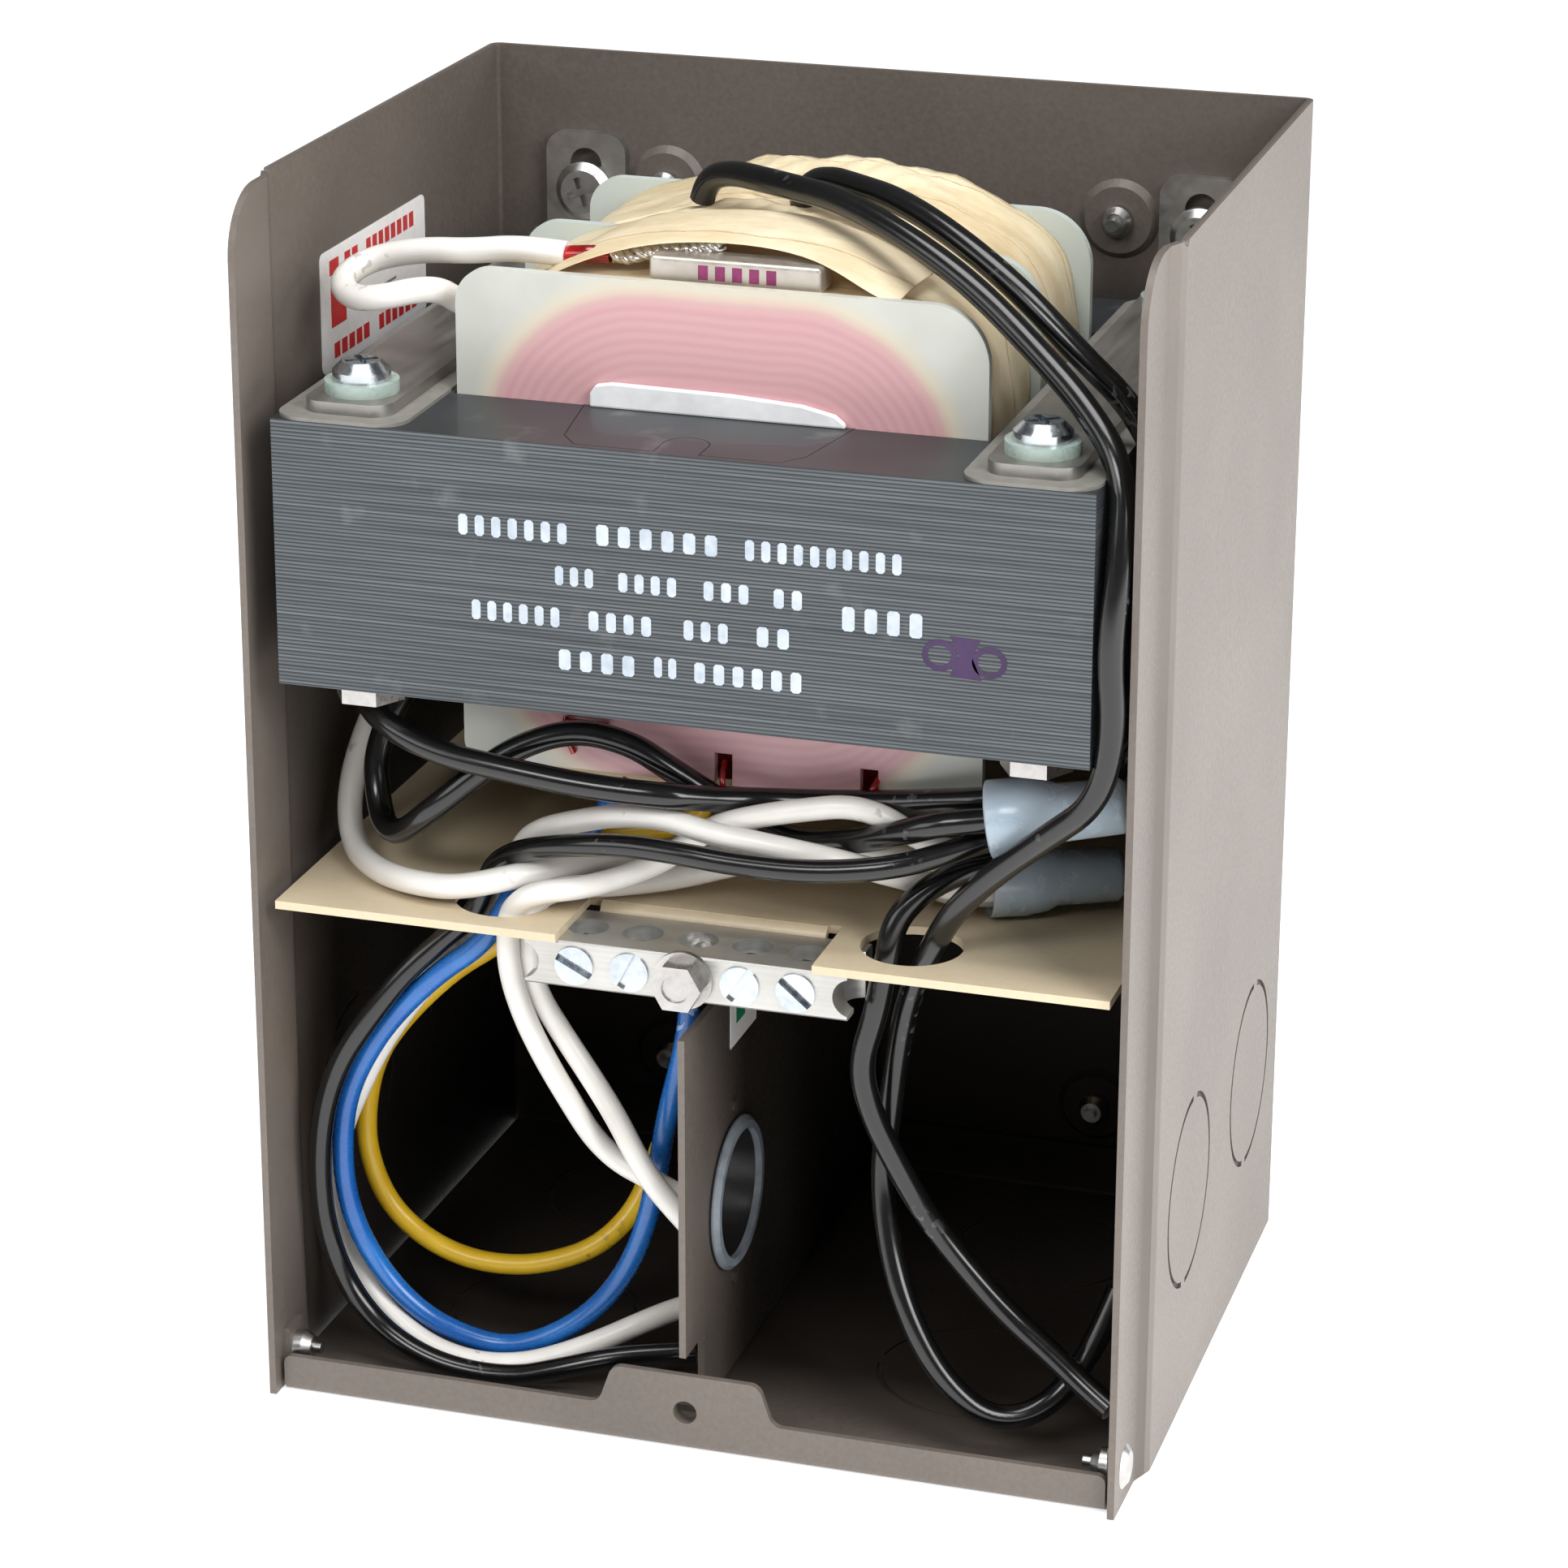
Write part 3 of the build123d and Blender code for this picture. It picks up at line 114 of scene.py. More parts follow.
class Nodes:
    """Small helper that adds nodes to one material and links them."""

    def __init__(self, name):
        self.mat = bpy.data.materials.new(name)
        self.mat.use_nodes = True
        self.tree = self.mat.node_tree
        self.bsdf = self.tree.nodes["Principled BSDF"]
        self.coord = self.tree.nodes.new("ShaderNodeTexCoord")

    def add(self, kind, **props):
        node = self.tree.nodes.new(kind)
        for key, value in props.items():
            setattr(node, key, value)
        return node

    def link(self, out, socket):
        self.tree.links.new(out, socket)

    def feed(self, value, socket):
        """Links another node's output to the socket, or sets the socket's own value."""
        if isinstance(value, bpy.types.NodeSocket):
            self.link(value, socket)
        else:
            socket.default_value = value

    def math(self, op, a, b=None):
        node = self.add("ShaderNodeMath", operation=op)
        self.feed(a, node.inputs[0])
        if b is not None:
            self.feed(b, node.inputs[1])
        return node.outputs[0]

    def noise(self, scale, detail=3.0, stretch=(1, 1, 1), rough=0.5):
        mapping = self.add("ShaderNodeMapping")
        mapping.inputs["Scale"].default_value = stretch
        self.link(self.coord.outputs["Object"], mapping.inputs["Vector"])
        node = self.add("ShaderNodeTexNoise")
        node.inputs["Scale"].default_value = scale
        node.inputs["Detail"].default_value = detail
        node.inputs["Roughness"].default_value = rough
        self.link(mapping.outputs["Vector"], node.inputs["Vector"])
        return node.outputs["Fac"]

    def xyz(self):
        node = self.add("ShaderNodeSeparateXYZ")
        self.link(self.coord.outputs["Object"], node.inputs[0])
        return node.outputs

    def mix(self, fac, a, b):
        node = self.add("ShaderNodeMix", data_type="RGBA")
        for socket, value in ((0, fac), (6, a), (7, b)):
            self.feed(value, node.inputs[socket])
        return node.outputs[2]

    def ramp(self, fac, low, high, out_low=0.0, out_high=1.0):
        node = self.add("ShaderNodeMapRange")
        for socket, value in enumerate((fac, low, high, out_low, out_high)):
            self.feed(value, node.inputs[socket])
        node.clamp = True
        return node.outputs[0]

    def bump(self, height, strength, distance, chain=None):
        node = self.add("ShaderNodeBump")
        node.inputs["Strength"].default_value = strength
        node.inputs["Distance"].default_value = distance
        self.link(height, node.inputs["Height"])
        if chain is not None:
            self.link(chain, node.inputs["Normal"])
        self.link(node.outputs[0], self.bsdf.inputs["Normal"])
        return node.outputs[0]

    def set(self, **values):
        for key, value in values.items():
            self.bsdf.inputs[key.replace("_", " ")].default_value = value


def average(n, broad, fine):
    """Broad and fine noise in one, the broad one a little stronger."""
    return n.math("ADD", n.math("MULTIPLY", broad, 0.6), n.math("MULTIPLY", fine, 0.4))


def finish_of(name, dark, light, rough=(0.35, 0.5), metal=0.0, grain=700.0, patch=60.0, bump=0.1,
              stretch=(1, 1, 1), coat=0.0):
    """A surface with broad and fine variation in colour, roughness and height."""
    n = Nodes(name)
    fine = n.noise(grain, 3.0, stretch)
    both = average(n, n.noise(patch, 4.0), fine)
    n.link(n.mix(n.ramp(both, 0.35, 0.65), dark, light), n.bsdf.inputs["Base Color"])
    n.link(n.ramp(fine, 0.3, 0.7, rough[0], rough[1]), n.bsdf.inputs["Roughness"])
    n.set(Metallic=metal, Coat_Weight=coat)
    n.bump(fine, bump, 0.0001)
    return n


def taupe_paint_and_shade():
    """Fine textured powder coat, with painted shade that darkens the inner faces looking into the wiring space
    towards the bottom and the back, and dulls their sheen there.
    """
    n = Nodes("taupe_paint_and_shade")
    x, y, z = n.xyz()
    fine = n.noise(1400.0, 3.0)
    both = average(n, n.noise(25.0, 4.0), fine)
    body = n.mix(n.ramp(both, 0.35, 0.65), srgb(98, 90, 84), srgb(114, 105, 98))
    splay = n.math("MULTIPLY", n.math("SUBTRACT", BACK_Y * MM, y), WALL_SPLAY / (BACK_Y - CREASE_Y))
    half_width = n.math("ADD", n.math("MINIMUM", splay, WALL_SPLAY * MM), (WALL_X_AT_BACK - 0.5 * SHEET) * MM)
    within = n.math("LESS_THAN", n.math("ABSOLUTE", x), half_width)
    behind = n.math("LESS_THAN", y, (BACK_Y - 0.5 * SHEET) * MM)
    low = n.ramp(z, *SHADE_HEIGHT, 1.0, 0.30)
    deep = n.ramp(y, *SHADE_DEPTH)
    # painted shade: inner faces near black low down and deep in, where shade falls in the wiring space
    inner = n.math("MULTIPLY", n.math("MULTIPLY", within, behind), n.math("MULTIPLY", low, deep))
    n.link(n.mix(n.math("MULTIPLY", inner, 0.86), body, srgb(26, 23, 21)), n.bsdf.inputs["Base Color"])
    n.link(n.ramp(fine, 0.3, 0.7, 0.38, 0.52), n.bsdf.inputs["Roughness"])
    n.link(n.math("SUBTRACT", 0.5, n.math("MULTIPLY", inner, 0.4)), n.bsdf.inputs["Specular IOR Level"])
    n.bump(fine, 0.22, 0.00008)
    return n.mat


def washer_material():
    """Pale nylon that lets a little light through."""
    n = finish_of("washer_nylon", srgb(170, 182, 170), srgb(205, 215, 205), (0.25, 0.35),
                  grain=500.0, patch=90.0, bump=0.05)
    n.set(Transmission_Weight=0.25, Subsurface_Weight=0.2)
    return n.mat


def bushing_material():
    """Grey nylon, with painted shade making it near black on the part in and behind the partition, that is left of
    its right face.
    """
    n = finish_of("bushing_nylon_and_shade", srgb(98, 105, 112), srgb(130, 138, 146), (0.3, 0.42),
                  grain=500.0, patch=90.0, bump=0.08)
    base = n.bsdf.inputs["Base Color"]
    colour = base.links[0].from_socket
    # painted shade: the barrel inside the partition's hole is coloured near black
    barrel = n.math("LESS_THAN", n.xyz()[0], 0.0002)
    n.link(n.mix(barrel, colour, srgb(24, 24, 26)), base)
    return n.mat


def lamination_material():
    """Stacked sheets: fine horizontal lines, streaks along them and light scuffs."""
    n = Nodes("laminated_steel")
    height = n.math("ADD", n.xyz()[2], n.math("MULTIPLY", n.noise(40.0, 2.0), 0.00006))
    wave = n.math("SINE", n.math("MULTIPLY", height, 2 * math.pi / LAMINATION_PITCH))
    line = n.ramp(wave, -1.0, 1.0)
    streak = n.noise(260.0, 3.0, (0.08, 0.08, 6.0))
    base = n.mix(n.ramp(streak, 0.3, 0.7), srgb(70, 76, 80), srgb(104, 110, 114))
    lined = n.mix(n.ramp(line, 0.05, 0.55), srgb(46, 49, 52), base)
    scuff = n.ramp(n.noise(120.0, 5.0), 0.62, 0.75)
    n.link(n.mix(n.math("MULTIPLY", scuff, 0.35), lined, srgb(132, 134, 134)), n.bsdf.inputs["Base Color"])
    n.link(n.ramp(streak, 0.3, 0.7, 0.34, 0.5), n.bsdf.inputs["Roughness"])
    n.set(Metallic=0.45, Coat_Weight=0.15)
    n.bump(line, 0.5, 0.00012)
    return n.mat


def flange_material():
    """Milky plastic with the winding showing through the front flange as pink arcs."""
    n = Nodes("milky_flange")
    x, y, z = n.xyz()
    from_x = n.math("MAXIMUM", n.math("SUBTRACT", n.math("ABSOLUTE", x), FORMER_HALF_X), 0.0)
    height = n.math("SUBTRACT", z, COIL_MIDDLE_Z)
    from_z = n.math("MAXIMUM", n.math("SUBTRACT", n.math("ABSOLUTE", height), FORMER_HALF_Z), 0.0)
    away = n.math("SQRT", n.math("ADD", n.math("MULTIPLY", from_x, from_x), n.math("MULTIPLY", from_z, from_z)))
    soft = n.noise(70.0, 3.0)
    away = n.math("ADD", away, n.math("MULTIPLY", n.math("SUBTRACT", soft, 0.5), 0.0016))
    ring = n.ramp(n.math("SINE", n.math("MULTIPLY", away, 2 * math.pi / RING_PITCH)), -1.0, 1.0)
    pink = n.mix(ring, srgb(205, 158, 162), srgb(210, 166, 169))
    turns = n.ramp(away, *TURNS_END, 1.0, 0.0)
    tape = n.ramp(away, *TAPE_END, 1.0, 0.0)
    milky = n.mix(n.ramp(soft, 0.35, 0.65), srgb(192, 194, 186), srgb(204, 205, 198))
    seen = n.mix(turns, n.mix(tape, milky, srgb(214, 204, 182)), pink)
    front = n.math("LESS_THAN", y, FRONT_FLANGE_Y)
    n.link(n.mix(front, srgb(196, 205, 200), seen), n.bsdf.inputs["Base Color"])
    n.link(n.ramp(n.noise(500.0, 2.0), 0.3, 0.7, 0.32, 0.42), n.bsdf.inputs["Roughness"])
    n.set(Subsurface_Weight=0.25, Coat_Weight=0.15)
    n.bsdf.inputs["Subsurface Radius"].default_value = (0.004, 0.003, 0.003)
    n.bump(soft, 0.08, 0.0003)
    return n.mat


def winding_material():
    """Red enamelled turns side by side."""
    n = Nodes("enamelled_winding")
    turn = n.ramp(n.math("SINE", n.math("MULTIPLY", n.xyz()[1], 2 * math.pi / TURN_PITCH)), -1.0, 1.0)
    n.link(n.mix(turn, srgb(120, 12, 16), srgb(196, 44, 34)), n.bsdf.inputs["Base Color"])
    n.link(n.ramp(n.noise(400.0), 0.3, 0.7, 0.2, 0.3), n.bsdf.inputs["Roughness"])
    n.set(Coat_Weight=0.6, Metallic=0.3)
    n.bump(turn, 0.5, 0.0003)
    return n.mat


def tape_material():
    """Cream paper tape: fine crepe, overlapped edges and darker folds."""
    n = Nodes("cream_tape")
    crease = n.noise(55.0, 5.0, (1.0, 2.2, 1.0), 0.6)
    crepe = n.noise(1500.0, 2.0, (1.0, 0.25, 1.0))
    along = n.math("MULTIPLY", n.xyz()[1], 88.0)
    edge = n.math("FRACT", n.math("ADD", along, n.math("MULTIPLY", crease, 0.35)))
    lap = n.ramp(edge, 0.0, 0.06)
    body = n.mix(n.ramp(crease, 0.35, 0.65), srgb(212, 190, 150), srgb(236, 220, 188))
    n.link(n.mix(lap, srgb(176, 150, 112), body), n.bsdf.inputs["Base Color"])
    n.link(n.ramp(crepe, 0.3, 0.7, 0.42, 0.6), n.bsdf.inputs["Roughness"])
    n.set(Coat_Weight=0.12, Subsurface_Weight=0.08)
    crepe_bump = n.bump(crepe, 0.12, 0.0001)
    n.bump(n.math("ADD", n.math("MULTIPLY", lap, 0.35), crease), 0.55, 0.0012, crepe_bump)
    return n.mat


paint_and_shade = taupe_paint_and_shade()
cream = finish_of("cream_paint", srgb(205, 188, 158), srgb(216, 200, 171), (0.3, 0.42),
                  grain=900.0, patch=30.0).mat
bar_metal = finish_of("bar_aluminium", (0.44, 0.43, 0.41, 1), (0.60, 0.59, 0.56, 1), (0.28, 0.44), metal=0.8,
                      grain=500.0, patch=90.0, bump=0.25, stretch=(0.08, 1, 4)).mat
zinc = finish_of("zinc_plate", (0.40, 0.44, 0.48, 1), (0.62, 0.66, 0.70, 1), (0.16, 0.32), metal=1.0,
                 grain=900.0, patch=160.0).mat
dull_zinc = finish_of("dull_zinc", (0.30, 0.29, 0.27, 1), (0.44, 0.42, 0.40, 1), (0.32, 0.46), metal=0.9,
                      grain=500.0, bump=0.2, stretch=(1, 0.1, 1)).mat
hex_metal = finish_of("hex_steel", (0.38, 0.37, 0.36, 1), (0.58, 0.56, 0.55, 1), (0.25, 0.38), metal=1.0,
                      grain=800.0, patch=120.0, bump=0.2).mat
rivet_metal = finish_of("rivet_metal", (0.40, 0.39, 0.38, 1), (0.60, 0.59, 0.58, 1), (0.28, 0.42), metal=1.0,
                        patch=90.0, bump=0.2).mat
card = finish_of("insulation_card", srgb(112, 110, 104), srgb(132, 130, 124), (0.5, 0.7),
                 grain=600.0, patch=40.0, bump=0.15).mat
film_clear = finish_of("wedge_film", srgb(225, 226, 228), srgb(250, 250, 252), (0.12, 0.25),
                       grain=400.0, patch=90.0, coat=0.4).mat
laminated = lamination_material()
winding = winding_material()
tape_mat = tape_material()

for mat, names in (
        (paint_and_shade, ("enclosure_shell", "bottom_panel", "partition_plate")),
        (cream, ("divider_plate",)),
        (bar_metal, ("ground_bar",)),
        (zinc, ("ground_bar_screws", "core_bolts", "flat_washers")),
        (hex_metal, ("ground_bar_hex_screw", "core_nuts")),
        (bushing_material(), ("partition_bushing",)),
        (laminated, ("core_frame_laminations", "core_centre_leg")),
        (flange_material(), ("bobbin",)),
        (winding, ("front_winding", "rear_winding")),
        (film_clear, ("window_wedge",)),
        (card, ("insulation_plates",)),
        (dull_zinc, ("mounting_bracket_left", "mounting_bracket_right")),
        (washer_material(), ("nylon_washers",)),
        (rivet_metal, ("bracket_screws", "wall_rivets", "panel_rivets"))):
    for node_name in names:
        slots = nodes[node_name].data.materials
        slots.clear()
        slots.append(mat)


def insulation(name, dark, light, print_colour, rough=(0.22, 0.34), coat=0.35):
    """Wire jacket: near even colour, a soft sheen, and faint runs of generic dashes."""
    n = Nodes(name)
    broad = n.noise(90.0, 3.0)
    fine = n.noise(900.0, 2.0)
    mark = n.math("MULTIPLY", n.ramp(n.noise(700.0, 1.0), 0.60, 0.63), n.ramp(n.noise(70.0, 1.0), 0.66, 0.70))
    body = n.mix(n.ramp(broad, 0.3, 0.7), dark, light)
    n.link(n.mix(n.math("MULTIPLY", mark, 0.55), body, print_colour), n.bsdf.inputs["Base Color"])
    n.link(n.ramp(fine, 0.3, 0.7, rough[0], rough[1]), n.bsdf.inputs["Roughness"])
    n.set(Coat_Weight=coat, Coat_Roughness=0.2)
    n.bump(broad, 0.02, 0.0001)
    return n.mat


black = insulation("black_jacket", (0.003, 0.003, 0.003, 1), (0.006, 0.006, 0.006, 1), srgb(90, 90, 90),
                   (0.16, 0.22), 0.25)
white = insulation("white_jacket", srgb(222, 218, 212), srgb(240, 237, 232), srgb(150, 150, 150),
                   (0.3, 0.42), 0.2)
blue = insulation("blue_jacket", srgb(16, 84, 160), srgb(34, 112, 190), srgb(190, 205, 225))
yellow = insulation("yellow_jacket", srgb(200, 158, 20), srgb(226, 186, 44), srgb(120, 95, 30),
                    (0.3, 0.42), 0.2)

# Cords: radius and length in millimetres, jacket, far end, and the points of the route
WIRES = {
    "lead_white_upper": (1.8, 64.6, white, "object", [
        (-24.0, -25.0, 166.9), (-30.5, -24.8, 167.3), (-38.7, -23.5, 165.8), (-45.9, -21.5, 165.0),
        (-53.0, -20.0, 163.2), (-56.5, -22.0, 161.7), (-56.8, -26.5, 160.4), (-53.0, -31.0, 159.8),
        (-48.0, -32.5, 160.8), (-43.6, -31.2, 161.9), (-41.2, -28.2, 161.3), (-39.4, -26.0, 159.2),
        (-35.6, -26.0, 157.8)]),
    "lead_white_left": (1.8, 170.9, white, "connector", [
        (-36.3, 5.0, 106.0), (-42.0, 5.0, 106.0), (-50.0, 0.4, 104.2), (-56.0, -8.0, 100.5),
        (-58.6, -17.0, 92.5), (-58.9, -24.0, 84.5), (-55.8, -30.5, 79.1), (-49.4, -38.0, 78.8),
        (-42.0, -42.6, 79.4), (-34.6, -43.6, 79.8), (-26.8, -39.8, 81.3), (-21.0, -34.0, 81.3),
        (-15.6, -25.8, 80.2), (-5.0, -19.2, 79.6), (4.0, -15.6, 78.9), (14.0, -14.2, 78.9),
        (23.6, -18.0, 79.2), (30.6, -24.6, 79.8), (35.8, -23.8, 79.8), (40.4, -21.7, 79.8)]),
    "lead_black_front": (1.8, 135.6, black, "connector", [
        (-36.3, -12.0, 106.2), (-42.0, -12.0, 106.2), (-49.0, -16.6, 105.2), (-53.0, -25.0, 105.0),
        (-52.5, -34.0, 104.4), (-46.8, -41.0, 102.4), (-38.0, -43.2, 99.5), (-26.5, -44.0, 98.4),
        (-15.4, -44.0, 97.3), (-4.3, -43.0, 96.8), (-0.5, -40.2, 95.9), (2.4, -37.8, 95.2),
        (6.6, -35.4, 94.7), (12.1, -34.3, 94.7), (18.6, -34.3, 95.3), (26.6, -34.3, 96.2),
        (34.2, -36.2, 98.0), (39.5, -37.2, 99.1), (44.4, -36.2, 99.8)]),
    "lead_black_middle": (1.8, 146.8, black, "object", [
        (-36.3, -20.5, 106.2), (-41.5, -20.5, 106.2), (-47.5, -22.6, 103.7), (-50.3, -26.0, 100.0),
        (-52.8, -28.4, 92.3), (-51.6, -30.5, 86.7), (-49.5, -33.6, 83.8), (-45.3, -37.8, 84.5),
        (-39.3, -41.2, 90.1), (-32.9, -39.9, 95.8), (-27.0, -38.4, 100.1), (-19.3, -37.4, 102.9),
        (-11.3, -37.4, 101.9), (-6.2, -36.4, 98.5), (-1.3, -34.2, 94.6), (4.8, -33.2, 90.6),
        (11.0, -33.4, 88.3), (21.4, -37.6, 91.1), (29.3, -41.4, 94.8), (34.6, -42.2, 96.9),
        (40.5, -40.8, 97.6), (45.4, -39.6, 98.2)]),
    "lead_black_low": (1.65, 216.2, black, "bare", [
        (45.3, -37.0, 95.1), (40.5, -38.2, 94.0), (35.2, -41.4, 92.4), (28.6, -45.0, 90.8),
        (17.9, -45.9, 89.2), (6.1, -45.6, 89.0), (-1.5, -45.2, 89.5), (-9.2, -44.2, 89.4),
        (-17.1, -42.8, 88.1), (-23.3, -40.4, 86.1), (-28.4, -37.8, 83.8), (-32.2, -36.0, 80.8),
        (-33.9, -36.0, 76.2), (-35.6, -36.8, 72.6), (-39.2, -37.8, 69.6), (-44.6, -39.6, 64.4),
        (-49.7, -40.8, 57.3), (-54.7, -41.0, 49.5), (-57.5, -40.8, 40.8), (-58.6, -40.0, 30.7),
        (-58.1, -39.0, 20.9), (-54.5, -38.8, 12.1), (-48.4, -39.8, 6.4), (-39.6, -41.0, 3.4),
        (-29.2, -41.0, 3.1), (-21.9, -40.0, 5.2), (-15.8, -38.4, 6.9), (-9.8, -36.2, 7.6),
        (-3.4, -33.8, 7.8)]),
    "lead_white_low": (1.65, 221.8, white, "bare", [
        (41.8, -24.8, 81.6), (37.2, -26.9, 81.6), (30.8, -30.0, 82.8), (26.0, -35.4, 85.9),
        (20.6, -41.2, 89.4), (11.0, -42.6, 91.1), (1.9, -42.2, 91.7), (-5.0, -40.8, 92.7),
        (-12.4, -39.6, 91.9), (-20.3, -37.2, 89.0), (-25.2, -34.6, 86.6), (-28.9, -32.5, 83.5),
        (-30.4, -32.8, 79.0), (-31.4, -33.2, 74.2), (-35.8, -34.2, 68.6), (-42.5, -33.8, 62.2),
        (-50.6, -33.2, 51.0), (-55.8, -32.4, 40.5), (-59.2, -32.0, 32.0), (-60.1, -32.2, 24.3),
        (-58.1, -32.8, 17.4), (-54.2, -34.2, 11.5), (-48.8, -35.6, 6.7), (-42.8, -37.0, 4.0),
        (-35.9, -37.6, 2.9), (-28.9, -37.4, 3.6), (-22.4, -36.0, 5.7), (-16.4, -34.5, 8.5),
        (-11.2, -32.0, 10.9), (-7.4, -29.0, 12.0), (-3.6, -26.2, 12.6)]),
    "lead_white_pair_front": (1.65, 141.4, white, "bare", [
        (41.0, -23.1, 84.7), (36.4, -25.1, 84.7), (34.0, -29.6, 87.4), (32.4, -33.6, 90.2),
        (29.0, -35.8, 92.2), (25.2, -37.6, 95.4), (20.4, -38.6, 96.6), (15.0, -38.9, 95.6),
        (8.6, -39.4, 94.2), (2.0, -39.3, 92.0), (-2.8, -36.8, 88.1), (-7.1, -36.6, 84.4),
        (-12.6, -38.0, 81.9), (-17.4, -41.0, 80.9), (-23.6, -43.2, 80.4), (-27.6, -42.0, 77.0),
        (-28.1, -42.0, 72.2), (-28.3, -40.5, 66.3), (-26.9, -39.0, 59.5), (-24.2, -38.0, 52.9),
        (-20.8, -37.0, 46.3), (-18.0, -35.6, 40.6), (-14.2, -35.6, 37.3), (-9.5, -36.6, 36.0),
        (-5.6, -37.4, 34.6), (-1.9, -37.7, 33.4)]),
    "lead_white_pair_rear": (1.65, 125.5, white, "bare", [
        (39.7, -20.2, 83.0), (35.1, -22.3, 83.0), (28.8, -25.4, 84.8), (22.0, -27.4, 86.0),
        (14.6, -28.4, 85.8), (7.2, -28.8, 84.2), (0.0, -29.2, 81.8), (-7.2, -30.4, 79.6),
        (-14.4, -33.2, 78.8), (-18.5, -37.0, 79.6), (-21.8, -39.2, 79.6), (-24.7, -39.8, 77.6),
        (-25.7, -39.4, 73.0), (-26.6, -37.8, 67.6), (-25.6, -36.4, 61.8), (-22.3, -35.6, 55.9),
        (-18.0, -36.0, 50.1), (-13.7, -38.0, 45.5), (-10.1, -40.0, 40.8), (-7.3, -41.0, 37.4),
        (-4.4, -41.3, 34.4), (-1.9, -41.2, 31.8)]),
    "lead_blue": (1.55, 194.9, blue, "bare", [
        (-17.4, -27.5, 92.9), (-17.4, -27.5, 88.6), (-20.0, -29.6, 85.2), (-24.8, -33.0, 82.3),
        (-28.6, -35.9, 79.0), (-30.2, -37.2, 74.6), (-33.4, -38.4, 69.4), (-39.7, -38.5, 64.6),
        (-46.5, -38.0, 57.5), (-51.2, -37.5, 50.8), (-54.9, -37.0, 43.3), (-56.3, -36.5, 35.7),
        (-56.3, -36.0, 27.6), (-54.5, -35.5, 20.3), (-50.5, -35.0, 13.3), (-45.3, -34.5, 8.1),
        (-39.5, -34.0, 5.3), (-33.1, -33.5, 4.0), (-26.7, -33.0, 5.9), (-19.8, -32.0, 10.7),
        (-14.9, -31.2, 17.3), (-11.8, -31.0, 25.0), (-9.8, -31.4, 33.8), (-8.0, -32.0, 44.3),
        (-5.4, -31.8, 54.5), (-4.6, -31.2, 62.5), (-5.0, -31.0, 70.0)]),
    "lead_yellow": (1.55, 154.4, yellow, "bare", [
        (-4.5, -22.5, 92.9), (-4.5, -22.5, 88.6), (-8.0, -24.0, 85.2), (-14.6, -25.2, 83.9),
        (-20.6, -27.0, 83.0), (-25.7, -30.9, 80.6), (-27.2, -33.6, 76.4), (-29.4, -32.5, 70.2),
        (-34.8, -31.2, 66.0), (-41.4, -29.6, 61.0), (-49.5, -27.5, 52.3), (-54.7, -26.4, 44.6),
        (-57.1, -25.2, 35.8), (-57.3, -24.6, 28.2), (-54.5, -24.4, 20.4), (-49.1, -24.4, 15.5),
        (-43.0, -24.4, 13.0), (-36.4, -24.2, 12.4), (-30.0, -23.6, 13.3), (-23.1, -21.8, 15.8),
        (-18.8, -19.0, 19.8), (-16.6, -16.0, 24.4), (-15.6, -12.6, 29.6)]),
    "lead_black_right": (1.8, 280.0, black, "bare", [
        (-11.0, -5.4, 171.0), (-10.0, -6.2, 174.2), (-5.6, -9.0, 176.0), (-0.2, -12.2, 176.1),
        (5.2, -15.2, 176.1), (12.8, -19.0, 175.9), (23.4, -25.0, 173.4), (34.3, -30.4, 168.9),
        (43.8, -35.0, 162.6), (52.6, -40.4, 156.6), (59.5, -46.0, 149.9), (60.1, -49.6, 138.4),
        (59.3, -51.4, 127.0), (60.1, -50.6, 115.4), (57.9, -49.4, 105.0), (50.1, -46.5, 98.2),
        (41.9, -43.9, 90.7), (36.0, -41.6, 83.7), (32.6, -39.6, 77.0), (29.0, -36.4, 69.6),
        (27.0, -34.8, 61.4), (25.6, -34.0, 50.9), (24.6, -34.6, 40.8), (26.3, -37.0, 31.2),
        (30.1, -40.0, 21.8), (35.5, -41.0, 12.9), (42.6, -40.0, 6.8), (49.6, -36.0, 7.9),
        (54.9, -31.0, 15.2), (57.4, -27.0, 23.5)]),
    "lead_black_rear": (1.8, 247.3, black, "bare", [
        (3.0, -4.0, 171.0), (4.2, -5.4, 174.2), (8.2, -8.6, 176.1), (13.1, -12.0, 176.1),
        (20.9, -17.0, 175.8), (31.0, -23.0, 172.6), (41.0, -28.0, 167.3), (49.5, -31.0, 160.6),
        (57.0, -31.5, 154.2), (60.9, -29.4, 145.0), (60.6, -26.6, 134.0), (60.9, -24.6, 122.0),
        (60.4, -24.6, 111.0), (55.4, -27.0, 101.6), (48.4, -29.6, 93.8), (41.0, -31.8, 88.4),
        (35.8, -34.4, 87.4), (30.8, -36.8, 84.8), (27.2, -38.8, 80.6), (26.4, -40.0, 74.4),
        (25.3, -40.8, 67.4), (22.9, -40.4, 59.5), (24.3, -39.8, 52.3), (27.2, -38.4, 45.1),
        (31.6, -37.0, 36.2), (37.1, -36.6, 29.3), (43.8, -37.0, 22.5), (50.9, -38.5, 17.9),
        (56.1, -40.0, 14.3), (60.1, -41.6, 12.4)]),
}


def nurbs(name, points, radius, mat, resolution=8, sides=5):
    """A round wire along one smooth curve, in millimetres."""
    curve = bpy.data.curves.new(name, "CURVE")
    curve.dimensions = "3D"
    spline = curve.splines.new("NURBS")
    spline.points.add(len(points) - 1)
    for target, point in zip(spline.points, points):
        target.co = (point[0] * MM, point[1] * MM, point[2] * MM, 1.0)
    spline.order_u = 3
    spline.use_endpoint_u = True
    spline.resolution_u = resolution
    curve.bevel_depth = radius * MM
    curve.bevel_resolution = sides
    curve.use_fill_caps = True
    curve.materials.append(mat)
    return add_object(name, curve)


wires = {name: nurbs(name, row[-1], row[0], row[2]) for name, row in WIRES.items()}


